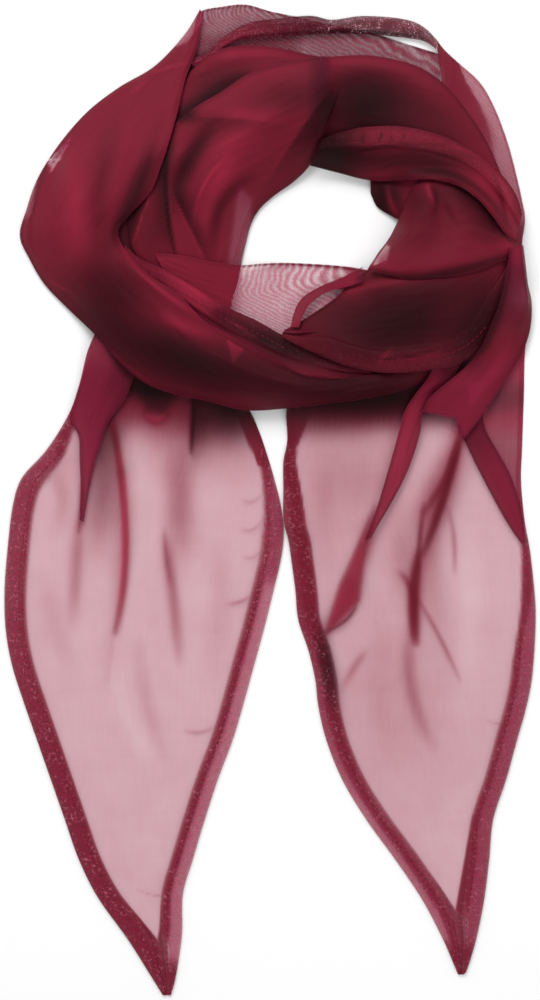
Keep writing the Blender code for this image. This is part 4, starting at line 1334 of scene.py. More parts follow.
def hem_shares(rows, reach, hem_width, widest=WIDEST_HEM):
    """The share of each section that a hem takes at its left and at its right edge."""
    left, right = rows[:, 0:2], rows[:, 2:4]
    across = right - left
    width = np.linalg.norm(across, axis=1)
    shares = []
    for row in range(len(rows)):
        near = slice(max(row - reach, 0), row + reach + 1)
        pair = []
        for edge in (left, right):
            run = edge[near][-1] - edge[near][0]
            slant = abs(run[0] * across[row, 1] - run[1] * across[row, 0])
            slant /= max(np.linalg.norm(run) * width[row], 1e-6)
            pair.append(min(hem_width / max(width[row] * slant, 1e-6), widest))
        shares.append(pair)
    return np.array(shares)


def between_hems(one, taken):
    """The shares of each section at which the cloth between the hems starts and stops."""
    start, stop = np.zeros((len(taken), 1)), np.ones((len(taken), 1))
    return taken[:, :1] if one.hems[0] else start, 1 - taken[:, 1:] if one.hems[1] else stop


def section_lines(one):
    """The columns of the laid form, as shares of the cloth between the hems.

    They lie closer at an edge without a hem, and one more lies beside each hem.
    """
    left_hem, right_hem = one.hems
    even = np.linspace(0.0, 1.0, one.cells + 1)
    rounded = 0.5 - 0.5 * np.cos(np.pi * even)
    if left_hem and right_hem:
        lines = even
    elif left_hem or right_hem:
        lines = np.where(even < 0.5 if left_hem else even > 0.5, even, rounded)
    else:
        lines = (1 - ROUNDER) * even + ROUNDER * rounded
    first = [0.0, HEM_STEP] if left_hem else [lines[0]]
    last = [1 - HEM_STEP, 1.0] if right_hem else [lines[-1]]
    return np.array([*first, *lines[1:-1], *last])


def upright_share(points, triangles):
    """The upward part of the unit normal at each point, limited so that steep walls don't grow long."""
    a, b, c = (points[triangles[:, k]] for k in range(3))
    face = np.cross(b - a, c - a)
    normal = np.zeros_like(points)
    for corner in range(3):
        np.add.at(normal, triangles[:, corner], face)
    length = np.maximum(np.linalg.norm(normal, axis=1), 1e-9)
    return np.maximum(np.abs(normal[:, 2]) / length, STEEPEST)


def laid_heights(laid, one, hem_width):
    """Lays one stretch on what is already there. Returns the height of its top over its coarse grid."""
    rows = evenly(one.sections, one.cell)
    start, stop = between_hems(one, hem_shares(rows, 1, hem_width))
    share = start + (stop - start) * section_lines(one)
    rise = np.zeros_like(share)
    edge = np.zeros((len(rows), 1))
    if one.hems[0]:
        share, rise = np.hstack([edge, share]), np.hstack([edge, rise])
        rise[:, :2] = HEM_RISE
    if one.hems[1]:
        share, rise = np.hstack([share, edge + 1.0]), np.hstack([rise, edge])
        rise[:, -2:] = HEM_RISE
    left, right = rows[:, None, 0:2], rows[:, None, 2:4]
    plan = left + (right - left) * share[..., None]
    triangles = grid_triangles(*share.shape)
    relief = rows[:, 4:5] * dome(share)
    for fold in one.folds:
        relief = relief + fold_height(fold, plan)
    points = np.dstack([plan, np.zeros_like(share)]).reshape(-1, 3)
    floor = (laid.under(points) + GAP).reshape(share.shape)
    points[:, 2] = (taut(floor) + np.maximum(relief, 0.0)).ravel()
    for _ in range(SETTLING_ROUNDS):
        short = np.maximum(laid.shortfall(points, triangles), 0.0)
        lift = np.zeros(len(points))
        for corner in range(3):
            np.maximum.at(lift, triangles[:, corner], short)
        points[:, 2] += lift
    points[:, 2] += WALL / upright_share(points, triangles) + rise.ravel()
    laid.add(points, triangles)
    return points[:, 2].reshape(share.shape)


def ring_points():
    """Top points of the ring of hidden layers, one row to a section, from the opening outwards."""
    steps = 3
    looped = HIDDEN_LAYERS[-1:] + HIDDEN_LAYERS + HIDDEN_LAYERS[:2]
    rows = between_rows(looped, steps)[steps : steps * (1 + len(HIDDEN_LAYERS))]
    shares = 0.5 - 0.5 * np.cos(np.pi * np.linspace(0.0, 1.0, 9))
    rounded = np.sqrt(np.maximum(0.0, 1 - (2 * shares - 1) ** 2))
    inner, outer = rows[:, None, 0:2], rows[:, None, 2:4]
    plan = inner + (outer - inner) * shares[:, None]
    height = RING_RIM + (rows[:, None, 4] - RING_RIM) * rounded
    return np.dstack([plan, height])


LAID_HEIGHTS = {}


def all_heights(hem_width):
    """Lays all the stretches, once, and keeps the heights of their tops."""
    if not LAID_HEIGHTS:
        laid = Laid()
        ring = ring_points()
        looped = np.concatenate([ring, ring[:1]])
        laid.add(looped.reshape(-1, 3), grid_triangles(*looped.shape[:2]))
        for one in STRETCHES:
            LAID_HEIGHTS[one.name] = laid_heights(laid, one, hem_width)
    return LAID_HEIGHTS


# ---------------------------------------------------------------------------- the cloth's own sheet

Cloth = namedtuple("Cloth", "points layers shade crepe across along")


def open_sheet(one, sizes):
    """The fine sheet of a stretch before its edges are turned in."""
    hem_width = sizes.hem_width / MM
    heights = all_heights(hem_width)[one.name]
    rows = evenly(one.sections, one.cell, FINER)
    taken = hem_shares(rows, FINER, hem_width)
    start, stop = between_hems(one, taken)
    left, right = rows[:, 0:2], rows[:, 2:4]
    width = np.linalg.norm(right - left, axis=1)[:, None]
    fine = np.linspace(0.0, 1.0, max(12, round(width.max() / FINE_CELL)) + 1)
    lines = section_lines(one)
    columns = np.interp(fine, lines, np.arange(len(lines)))
    share = start + (stop - start) * fine
    hem = np.linspace(0.0, 1.0, HEM_COLUMNS + 1)
    if one.hems[0]:
        share = np.hstack([start * hem[:-1], share])
        columns = np.concatenate([hem[:-1], columns + 1])
    if one.hems[1]:
        share = np.hstack([share, stop + (1 - stop) * hem[1:]])
        columns = np.concatenate([columns, columns[-1] + hem[1:]])
    plan = left[:, None] + (right - left)[:, None] * share[..., None]
    height = read_smoothly(read_smoothly(heights.T, columns).T, np.arange(len(rows)) / FINER)
    height = height - 0.5 * WALL - one.flatter * rows[:, 4:5] * dome(share)
    along = np.repeat(middle_run(rows)[:, None], share.shape[1], axis=1)
    return np.dstack([plan, height]), share, taken, (share - 0.5) * width, along


def hem_parts(one, side, share, taken, points):
    """How much of each point is in a hem, its place across it from the edge, and how narrow each row's is."""
    from_edge = share if side == 0 else 1 - share
    wide, shown = np.ones(share.shape), np.ones(share.shape)
    for start in HEM_STARTS:
        if (start.stretch, start.side) == (one.name, side):
            grown = share_of((start.start_y - points[..., 1]) / (start.start_y - start.full_y))
            wide = start.narrowest + (1 - start.narrowest) * grown
            shown = share_of((start.start_y - points[..., 1]) / HEM_EMERGES + 0.5)
    near_point = np.clip((taken.mean(axis=1, keepdims=True) - POINT_SHARE) / POINT_SPAN, 0.0, WIDEST_POINT)
    wider = 1 + POINT_WIDER * near_point * all(one.hems)
    place = from_edge / np.minimum(taken[:, side : side + 1] * wide * wider, WIDEST_SHOWN_HEM)
    part = share_of((1 - place) * wide**NARROW_SOFTER / HEM_BORDER + 0.5) * shown
    return part, place, wide[:, -side]


def dressed_hems(one, share, taken, points, hem_width):
    """How much of each point is hem, its layers and crinkle there, and how narrow each side's rows are."""
    hem, layers, crepe = np.zeros(share.shape), np.zeros(share.shape), np.full(share.shape, one.crepe)
    narrow = [np.ones(len(share)), np.ones(len(share))]
    if all(one.hems):
        taken = hem_shares(evenly(one.sections, one.cell, FINER), FINER, hem_width, 1.0)
    for look in HEM_LOOKS:
        if look.stretch == one.name:
            part, place, rows_narrow = hem_parts(one, look.side, share, taken, points)
            narrow[look.side] = rows_narrow
            border = look.border * share_of((rows_narrow[:, None] - STRIP_FROM) / STRIP_SPAN)
            inner = share_of((place - border) / STRIP_BORDER + 0.5)
            gain = look.gain * share_of((GAIN_FROM_Y - points[..., 1]) / GAIN_SPAN) - 1.0
            layers = np.where(part > hem, look.outer + (look.inner - look.outer) * inner + gain, layers)
            crepe = np.where(part > hem, crepe + (look.crepe - crepe) * part, crepe)
            hem = np.maximum(hem, part)
    return hem, layers, crepe, narrow


def hem_columns(one, share, taken):
    """Where the laid form is raised for its hems, from 0 to 1."""
    raised = np.zeros(share.shape)
    for hemmed, within in zip(one.hems, (taken[:, :1] - share, share - 1 + taken[:, 1:])):
        if hemmed:
            raised = np.maximum(raised, share_of(within / 0.01))
    return raised


def dressed_sheet(one, sizes):
    """The fine sheet of a stretch with its creases, ripples, layers and painted shade, and its edges turned
    in.
    """
    points, share, taken, across, along = open_sheet(one, sizes)
    hem, hem_layers, crepe, narrow = dressed_hems(one, share, taken, points, sizes.hem_width / MM)
    width = np.linalg.norm(points[:, -1:, :2] - points[:, :1, :2], axis=-1)
    edge_distances = (share * width, width - share * width)
    free = share_of(np.minimum(*edge_distances) / CREASE_FADE)
    shade, lift, gathered = (np.zeros(share.shape) for _ in range(3))
    # Creases and shade ovals add painted shade and highlight and extra layers; on the tails some layers paint
    # shadow.
    for crease in one.creases:
        line = crease_share(crease, points)
        lift += crease.height * line * free
        gathered += crease.layers * line
        shade += crease.shade * line
    for shade_oval in one.tones:
        oval = shade_oval_share(shade_oval, points)
        shade += shade_oval.shade * oval
        gathered += shade_oval.layers * oval
    layers = np.maximum(float(one.layers) + gathered, FEWEST_LAYERS)
    layers = layers + hem * (np.maximum(hem_layers, layers) - layers)
    for patch in one.patches:
        part = patch_share(patch, points)
        layers = layers + (patch.layers - layers) * part
        shade = shade + patch.shade * part
        crepe = np.maximum(crepe, patch.crepe * part)
    # Painted shade along the left and right edges.
    for rim, from_edge in zip(one.rims, edge_distances):
        shade += rim * np.exp(-((from_edge / RIM_REACH) ** 2))
    ripple = waves(across, along, len(one.name) * 7 + one.cells)
    lift += sizes.ripple_height / MM * ripple * free * (1 - 0.6 * hem)
    lift += hem * PUCKER_HEIGHT * np.sin(along * 2 * math.pi / PUCKER_LENGTH + 0.6 * np.sin(along / 9.0))
    if any(one.hems):
        lift -= HEM_RISE * share_of(hem_columns(one, share, taken) - hem)
    points[..., 2] += lift
    cloth = Cloth(points, layers, shade, crepe, across, along)
    edges = ((1, False, narrow[0][:, None]), (1, True, narrow[1][:, None]), (0, False, 1.0), (0, True, 1.0))
    for turn, (axis, far, narrowed) in zip(one.turns, edges):
        if turn:
            cloth = turned_in(cloth, axis, far, turn, narrowed)
    np.maximum(cloth.points[..., 2], LOWEST, out=cloth.points[..., 2])
    return cloth


def turned_in(cloth, axis, far, width, narrow):
    """The cloth with one edge rolled over in a half circle and taken back below by width times narrow."""
    arrays = [np.moveaxis(array, axis, 0) for array in cloth]
    if far:
        arrays = [array[::-1] for array in arrays]
    points, moved = arrays[0], arrays[4 if axis == 1 else 5]
    outward = points[0, :, :2] - points[2, :, :2]
    outward /= np.maximum(np.linalg.norm(outward, axis=1, keepdims=True), 1e-6)
    extent = np.linalg.norm(points[-1, :, :2] - points[0, :, :2], axis=1)[:, None]
    reach = plan_reach(points, 0)
    places, runs = [], []
    for back in np.linspace(width, 0.0, max(2, round(width / TURN_STEP) + 1))[:-1]:
        inward = np.minimum(back * narrow, WIDEST_TURN * extent)
        lines = zip(inward, reach.T, points[..., 2].T)
        below = np.array([np.interp(back_in, run, top) for back_in, run, top in lines]) - 2.0 * TURN_RADIUS
        places.append(np.hstack([points[0, :, :2] - outward * inward, below]))
        runs.append(TURN_RADIUS * math.pi + back)
    for turn in (1.0, 0.75, 0.5, 0.25):
        angle = math.pi * turn
        drop = np.full((len(outward), 1), TURN_RADIUS * (math.cos(angle) - 1))
        places.append(points[0] + np.hstack([outward * TURN_RADIUS * math.sin(angle), drop]))
        runs.append(TURN_RADIUS * angle)
    new = Cloth(np.stack(places), *(np.repeat(array[:1], len(places), axis=0) for array in arrays[1:]))
    sign = 1.0 if (moved[0] - moved[1]).mean() > 0 else -1.0
    run = np.array(runs)[:, None] * sign
    new = new._replace(layers=np.minimum(new.layers, 1.0), crepe=0.0 * new.crepe)
    new = new._replace(across=new.across + run) if axis == 1 else new._replace(along=new.along + run)
    joined = [np.concatenate(pair) for pair in zip(new, arrays)]
    if far:
        joined = [array[::-1] for array in joined]
    return Cloth(*(np.moveaxis(array, 0, axis) for array in joined))


def new_object(name, shape, material):
    """A linked, smooth object with a bmesh's shape. The bmesh is freed."""
    mesh = bpy.data.meshes.new(name)
    shape.to_mesh(mesh)
    shape.free()
    mesh.shade_smooth()
    mesh.materials.append(material)
    made = bpy.data.objects.new(name, mesh)
    bpy.context.scene.collection.objects.link(made)
    return made


def grid_piece(name, cloth, material):
    """A grid mesh moved onto the cloth's points, with the cloth's map, layers and painted shade kept on it.
    """
    step_along = cloth.points[1:, :-1, :2] - cloth.points[:-1, :-1, :2]
    step_across = cloth.points[:-1, 1:, :2] - cloth.points[:-1, :-1, :2]
    if (step_across[..., 0] * step_along[..., 1] - step_across[..., 1] * step_along[..., 0]).sum() < 0:
        cloth = Cloth(*(array[:, ::-1] for array in cloth))
    rows, columns = cloth.layers.shape
    shape = bmesh.new()
    bmesh.ops.create_grid(shape, x_segments=columns - 1, y_segments=rows - 1, size=1.0)
    made = new_object(name, shape, material)
    mesh = made.data
    mesh.vertices.foreach_set("co", (cloth.points * MM).astype(np.float32).ravel())
    corner = np.empty(len(mesh.loops), np.int32)
    mesh.loops.foreach_get("vertex_index", corner)
    uv = np.stack([cloth.across.ravel(), cloth.along.ravel()], axis=1)[corner] * MM
    mesh.uv_layers.new(name="cloth").uv.foreach_set("vector", uv.astype(np.float32).ravel())
    for label in ("layers", "shade", "crepe"):
        kept = mesh.attributes.new(label, "FLOAT", "POINT")
        kept.data.foreach_set("value", getattr(cloth, label).astype(np.float32).ravel())
    mesh.update()
    return made


def lay_sheet(name, context):
    scene = context.scene
    one = BY_NAME[name]
    cloth = dressed_sheet(one, scene.scarf_sizes)
    piece = grid_piece(name + "_cloth", cloth, finish_material(one.finish, scene))
    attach(piece, "root")
    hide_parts(name)
    [sew(row, context) for row in STITCH_ROWS if row.stretch == name]


def lay_sheets(context, *names):
    """Makes these stretches in turn, for an operator."""
    for name in names:
        lay_sheet(name, context)
    return {"FINISHED"}


# ---------------------------------------------------------------------------- finishes


class Wiring:
    """Short ways to add and join nodes in one tree."""

    def __init__(self, tree):
        self.tree = tree

    def node(self, kind, **settings):
        """A new node with these settings."""
        made = self.tree.nodes.new(kind)
        for label, value in settings.items():
            setattr(made, label, value)
        return made

    def feed(self, socket, value):
        """Joins an input to an output, or gives it a plain value."""
        if isinstance(value, bpy.types.NodeSocket):
            self.tree.links.new(value, socket)
        else:
            socket.default_value = value

    def attribute(self, label):
        """A value kept on the cloth's points."""
        return self.node("ShaderNodeAttribute", attribute_name=label).outputs["Fac"]

    def math(self, operation, *values, clamp=False):
        """The result of one sum."""
        made = self.node("ShaderNodeMath", operation=operation, use_clamp=clamp)
        for socket, value in zip(made.inputs, values):
            self.feed(socket, value)
        return made.outputs[0]

    def plus(self, base, value, times):
        """The base with so many times the value added."""
        return self.math("ADD", base, self.math("MULTIPLY", value, times))

    def beyond(self, value, level, times, clamp=False):
        """So many times what the value has beyond a level."""
        return self.math("MULTIPLY", self.math("SUBTRACT", value, level), times, clamp=clamp)

    def mix(self, factor, a, b):
        """A colour between two others."""
        made = self.node("ShaderNodeMix", data_type="RGBA")
        for at, value in ((0, factor), (6, a), (7, b)):
            self.feed(made.inputs[at], value)
        return made.outputs[2]

    def scaled(self, place, scale):
        """A place with its axes scaled."""
        made = self.node("ShaderNodeMapping")
        self.feed(made.inputs["Vector"], place)
        made.inputs["Scale"].default_value = scale
        return made.outputs[0]

    def noise(self, place, scale, detail, dimensions="2D", roughness=0.5):
        """Soft noise around a half."""
        made = self.node("ShaderNodeTexNoise", noise_dimensions=dimensions)
        self.feed(made.inputs["Vector"], place)
        self.feed(made.inputs["Scale"], scale)
        made.inputs["Detail"].default_value = detail
        made.inputs["Roughness"].default_value = roughness
        return made.outputs["Fac"]

    def group(self, group, **values):
        """A group's node, with its inputs named by words joined with lines."""
        made = self.node("ShaderNodeGroup", node_tree=group)
        for label, value in values.items():
            self.feed(made.inputs[label.replace("_", " ")], value)
        return made


FLOAT, COLOUR, VECTOR = "NodeSocketFloat", "NodeSocketColor", "NodeSocketVector"
GROUPS = {}


def new_group(name, inputs, outputs):
    """A shader node group with named sockets: its wiring, what it is given and what it gives."""
    group = bpy.data.node_groups.new(name, "ShaderNodeTree")
    for way, sockets in (("INPUT", inputs), ("OUTPUT", outputs)):
        for label, kind in sockets:
            group.interface.new_socket(name=label, in_out=way, socket_type=kind)
    given, result = group.nodes.new("NodeGroupInput"), group.nodes.new("NodeGroupOutput")
    return Wiring(group), given.outputs, result.inputs


def layered_cloth_group():
    """Colour and alpha of so many layers of sheer cloth, with painted shade that darkens the colour (below 0,
    a painted highlight).
    """
    wire, given, result = new_group(
        "layered_cloth",
        [("Layers", FLOAT), ("Shade", FLOAT), ("Thin Colour", COLOUR), ("Deep Colour", COLOUR),
         ("Layer Opacity", FLOAT), ("Grain", FLOAT), ("Fleck", FLOAT), ("Fleck Colour", COLOUR)],
        [("Colour", COLOUR), ("Alpha", FLOAT)],
    )
    clear = wire.math("SUBTRACT", 1.0, given["Layer Opacity"])
    thick = wire.math("MULTIPLY", given["Layers"], wire.math("ADD", 1.0, given["Grain"]))
    through = wire.math("POWER", clear, thick)
    extra = wire.math("MAXIMUM", wire.math("SUBTRACT", given["Layers"], 1.0), 0.0)
    depth = wire.math("SUBTRACT", 1.0, wire.math("POWER", THIN_LEFT, extra))
    body = wire.mix(depth, given["Thin Colour"], given["Deep Colour"])
    # Painted shade: the colour is scaled by LIGHT_LEFT to the power of the Shade input.
    dimmed = wire.node("ShaderNodeVectorMath", operation="SCALE")
    wire.feed(dimmed.inputs[0], body)
    wire.feed(dimmed.inputs["Scale"], wire.math("POWER", LIGHT_LEFT, given["Shade"]))
    wire.feed(result["Colour"], wire.mix(given["Fleck"], dimmed.outputs[0], given["Fleck Colour"]))
    wire.feed(result["Alpha"], wire.math("SUBTRACT", 1.0, through, clamp=True))
    return wire.tree


def weave_group():
    """Fine crossing threads and the slubs in them, on a map in metres."""
    wire, given, result = new_group(
        "thread_weave", [("Map", VECTOR), ("Pitch", FLOAT)], [("Height", FLOAT), ("Grain", FLOAT)]
    )
    cloth_map = given["Map"]
    apart = wire.node("ShaderNodeSeparateXYZ")
    wire.feed(apart.inputs[0], cloth_map)
    turns = wire.math("DIVIDE", 2 * math.pi, given["Pitch"])
    warp, weft = (wire.math("SINE", wire.math("MULTIPLY", apart.outputs[axis], turns)) for axis in (0, 1))
    height = wire.math("MAXIMUM", warp, weft)
    slubs = wire.noise(wire.scaled(cloth_map, (1.0, 0.10, 1.0)), *SLUBS)
    crossed = wire.noise(wire.scaled(cloth_map, (0.07, 1.0, 1.0)), *CROSSED_SLUBS)
    clouded = wire.plus(wire.plus(slubs, crossed, CROSSED_SHARE), wire.noise(cloth_map, *CLOUDS), CLOUD_SHARE)
    uneven = wire.beyond(clouded, UNEVEN_MEAN, UNEVEN_GRAIN)
    wire.feed(result["Height"], height)
    wire.feed(result["Grain"], wire.math("ADD", uneven, wire.beyond(height, THREAD_MEAN, THREAD_GRAIN)))
    return wire.tree


def moire_group():
    """Hairpin bands where two open weaves lie over each other, on a map in metres about the bands' tip."""
    wire, given, result = new_group(
        "moire_bands",
        [("Map", VECTOR), ("First Limb", VECTOR), ("Second Limb", VECTOR), ("Spacing", FLOAT)],
        [("Bands", FLOAT)],
    )
    limbs = []
    for label in ("First Limb", "Second Limb"):
        dot = wire.node("ShaderNodeVectorMath", operation="DOT_PRODUCT")
        wire.feed(dot.inputs[0], given["Map"])
        wire.feed(dot.inputs[1], given[label])
        limbs.append(dot.outputs["Value"])
    bend = wire.math("SMOOTH_MAX", limbs[0], limbs[1], TIP_ROUND)
    swayed = wire.plus(bend, wire.noise(given["Map"], *SWAY), SWAY_REACH)
    swayed = wire.plus(swayed, wire.noise(given["Map"], *JAGS), JAG_REACH)
    closer = wire.math("MULTIPLY", swayed, wire.plus(1.0, bend, CLOSING_UP))
    turns = wire.math("DIVIDE", 2 * math.pi, given["Spacing"])
    wire.feed(result["Bands"], wire.math("SINE", wire.math("MULTIPLY", closer, turns)))
    return wire.tree


def crepe_group():
    """Small bright specks and dark pits of crinkled thread, on a map in metres."""
    wire, given, result = new_group(
        "crepe_grain",
        [("Map", VECTOR), ("Scale", FLOAT), ("Amount", FLOAT)],
        [("Fleck", FLOAT), ("Pit", FLOAT)],
    )
    grain = wire.noise(given["Map"], given["Scale"], 3.0, roughness=SPECK_ROUGH)
    gathered = wire.beyond(wire.noise(given["Map"], *CLUMPS), CLUMP_FROM, CLUMP_SHARP, clamp=True)
    high = wire.beyond(grain, SPECK_FROM, SPECK_SHARP, clamp=True)
    wire.feed(result["Fleck"], wire.math("MULTIPLY", wire.math("MULTIPLY", high, gathered), given["Amount"]))
    wire.feed(result["Pit"], grain)
    return wire.tree


def shared_groups():
    """The node groups that the finishes share, each built once."""
    if not GROUPS:
        GROUPS["layered"] = layered_cloth_group()
        GROUPS["weave"] = weave_group()
        GROUPS["moire"] = moire_group()
        GROUPS["crepe"] = crepe_group()
    return GROUPS


def new_material(name, surface):
    """A material with a shader's plain values, its wiring and its shader's inputs."""
    material = bpy.data.materials.new(name)
    material.use_nodes = True
    sockets = material.node_tree.nodes["Principled BSDF"].inputs
    for label, value in surface.items():
        sockets[label].default_value = value
    return material, Wiring(material.node_tree), sockets


def add_bump(wire, sockets, height, strength):
    """Gives a shader a fine relief, a tenth of a millimetre deep."""
    bump = wire.node("ShaderNodeBump")
    bump.inputs["Strength"].default_value = strength
    bump.inputs["Distance"].default_value = 0.1 * MM
    wire.feed(bump.inputs["Height"], height)
    wire.feed(sockets["Normal"], bump.outputs[0])


def uneven_colour(wire, sockets, colour, darkest, scale):
    """Gives a shader a colour that goes down unevenly to a share of itself. Returns the noise it follows."""
    noise = wire.noise(wire.node("ShaderNodeTexCoord").outputs["Object"], scale, 2.0, "3D")
    darker = tuple(darkest * part for part in colour)
    wire.feed(sockets["Base Color"], wire.mix(noise, (*darker, 1.0), (*colour, 1.0)))
    return noise


def finish_material(kind, scene):
    """The chiffon of one kind of stretch."""
    name = "chiffon_" + kind
    if name in bpy.data.materials:
        return bpy.data.materials[name]
    colours, sizes = scene.scarf_colours, scene.scarf_sizes
    finish = FINISHES[kind]
    groups = shared_groups()
    material, wire, sockets = new_material(name, CHIFFON_SURFACE)
    cloth_map = wire.node("ShaderNodeUVMap", uv_map="cloth").outputs[0]
    # The painted shade kept on the cloth's points.
    shade = wire.attribute("shade")
    weave = wire.group(groups["weave"], Map=cloth_map, Pitch=sizes.thread_pitch)
    grain = weave.outputs["Grain"]
    if finish.bands:
        centred = wire.node("ShaderNodeMapping", vector_type="POINT")
        wire.feed(centred.inputs["Vector"], wire.node("ShaderNodeTexCoord").outputs["Object"])
        centred.inputs["Location"].default_value = (-finish.tip_x * MM, -finish.tip_y * MM, 0.0)
        bands = wire.group(
            groups["moire"],
            Map=centred.outputs[0],
            First_Limb=(finish.first_x, finish.first_y, 0.0),
            Second_Limb=(finish.second_x, finish.second_y, 0.0),
            Spacing=finish.spacing * MM,
        )
        grain = wire.plus(grain, bands.outputs["Bands"], finish.bands)
    fleck = 0.0
    if finish.flecks:
        crinkled = wire.attribute("crepe")
        crepe = wire.group(groups["crepe"], Map=cloth_map, Scale=float(finish.crinkle), Amount=finish.flecks)
        fleck = wire.math("MULTIPLY", crepe.outputs["Fleck"], crinkled)
        pit = wire.beyond(crepe.outputs["Pit"], 0.5, crinkled)
        shade = wire.plus(shade, pit, PIT_SHADE)
        grain = wire.plus(grain, pit, PIT_GRAIN)
    cloth = wire.group(
        groups["layered"],
        Layers=wire.attribute("layers"),
        Shade=shade,
        Thin_Colour=(*colours.one_layer, 1.0),
        Deep_Colour=(*colours.many_layers, 1.0),
        Layer_Opacity=sizes.layer_opacity,
        Grain=grain,
        Fleck=fleck,
        Fleck_Colour=(*colours.speck, 1.0),
    )
    wire.feed(sockets["Base Color"], cloth.outputs["Colour"])
    wire.feed(sockets["Alpha"], cloth.outputs["Alpha"])
    add_bump(wire, sockets, weave.outputs["Height"], WEAVE_RELIEF)
    return material


def thread_material(scene):
    """Twisted sewing thread, a little brighter than the cloth."""
    if "sewing_thread" in bpy.data.materials:
        return bpy.data.materials["sewing_thread"]
    material, wire, sockets = new_material("sewing_thread", THREAD_SURFACE)
    noise = uneven_colour(wire, sockets, tuple(scene.scarf_colours.thread), darkest=0.55, scale=900.0)
    add_bump(wire, sockets, noise, THREAD_RELIEF)
    return material


def floor_material(scene):
    """A plain pale floor with a faint unevenness."""
    material, wire, sockets = new_material("pale_floor", FLOOR_SURFACE)
    uneven_colour(wire, sockets, tuple(scene.scarf_colours.floor), darkest=0.985, scale=3.0)
    return material


# ---------------------------------------------------------------------------- hidden layers and stitches


def inner_layers(context):
    """The bunched layers inside the ring: a closed, pleated roll with a flat underside."""
    ring = ring_points()
    places = np.arange(len(ring) * RING_FINER + 1) / RING_FINER
    across = np.linspace(0.0, ring.shape[1] - 1.0, RING_COLUMNS)
    fine = read_smoothly(np.concatenate([ring[-1:], ring, ring[:3]]), places + 1.0)
    fine = np.moveaxis(read_smoothly(np.moveaxis(fine, 1, 0), across), 0, 1)
    share = across / across[-1]
    along = places[:, None] * RING_SECTION_LENGTH
    pleat = np.sin(share * 2 * math.pi * PLEATS + 0.8 * np.sin(along / PLEAT_SWAY)) * np.sin(np.pi * share)
    fine[..., 2] = np.maximum(fine[..., 2] - (PLEAT_DROP + PLEAT_HEIGHT * pleat), RING_LOWEST_TOP)
    low = fine[:, ::-1][:, 1:-1:4].copy()
    low[..., 2] = RING_BOTTOM
    points = np.concatenate([fine, low, fine[:, :1]], axis=1)
    # Painted shade darkens all of the hidden layers.
    layers, shade = np.full(points.shape[:2], RING_LAYERS), np.full(points.shape[:2], RING_SHADE)
    rail = np.linspace(0.0, RING_GIRTH, points.shape[1])[None, :] + 0 * along
    cloth = Cloth(points, layers, shade, 0 * shade, rail, along + 0 * rail)
    piece = grid_piece("hidden_layers_cloth", cloth, finish_material("plain", context.scene))
    shape = bmesh.new()
    shape.from_mesh(piece.data)
    bmesh.ops.remove_doubles(shape, verts=shape.verts, dist=1e-6)
    bmesh.ops.recalc_face_normals(shape, faces=shape.faces)
    shape.to_mesh(piece.data)
    shape.free()
    piece.data.update()
    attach(piece, "root")
    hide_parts("hidden_layers")


def stitch_places(row, sizes):
    """Places and directions of the stitches of one row, on the sheet's own surface, in metres."""
    cloth = dressed_sheet(BY_NAME[row.stretch]._replace(turns=(0, 0, 0, 0)), sizes)
    points = cloth.points if row.side == 0 else cloth.points[:, ::-1]
    line = []
    for own, run in zip(points, plan_reach(points, 1)):
        inset = min(row.inset, WIDEST_INSET * run[-1])
        line.append([np.interp(inset, run, own[:, k]) for k in range(3)])
    line = np.array(line)[int(len(line) * row.first) : int(len(line) * row.last)]
    run = run_along(line)
    step = (sizes.stitch_length + sizes.stitch_gap) / MM
    wanted = np.arange(step, run[-1] - step, step)
    here, ahead = (
        np.stack([np.interp(places, run, line[:, k]) for k in range(3)], axis=1)
        for places in (wanted, wanted + 1.0)
    )
    return here * MM, ahead - here


def sew(row, context):
    """One row of lockstitches along a hem."""
    sizes = context.scene.scarf_sizes
    half, thick = sizes.stitch_length / 2, sizes.thread_thickness / 2
    size = Matrix.Diagonal((half, thick, thick, 1.0))
    shape = bmesh.new()
    for at, (place, direction) in enumerate(zip(*stitch_places(row, sizes))):
        turn = Vector(direction).to_track_quat("X", "Z").to_matrix().to_4x4()
        lean = Matrix.Rotation(math.radians(LEANS[at % 2]), 4, "Z")
        where = Matrix.Translation(Vector(place) + Vector((0.0, 0.0, thick * STITCH_RAISED)))
        stitch = where @ turn @ lean @ size
        bmesh.ops.create_uvsphere(shape, u_segments=6, v_segments=5, radius=1.0, matrix=stitch)
    side = "left" if row.side == 0 else "right"
    piece = new_object(f"{row.stretch}_stitches_{side}", shape, thread_material(context.scene))
    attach(piece, "root")
    return piece


def add_light(light):
    """One large soft light."""
    data = bpy.data.lights.new(light.name, "AREA")
    data.shape = "SQUARE"
    data.size = light.size
    data.energy = light.power
    lamp = bpy.data.objects.new(light.name, data)
    lamp.location = light.place
    lamp.rotation_euler = (Vector(light.aim) - Vector(light.place)).to_track_quat("-Z", "Y").to_euler()
    bpy.context.scene.collection.objects.link(lamp)


# ---------------------------------------------------------------------------- what a user may change


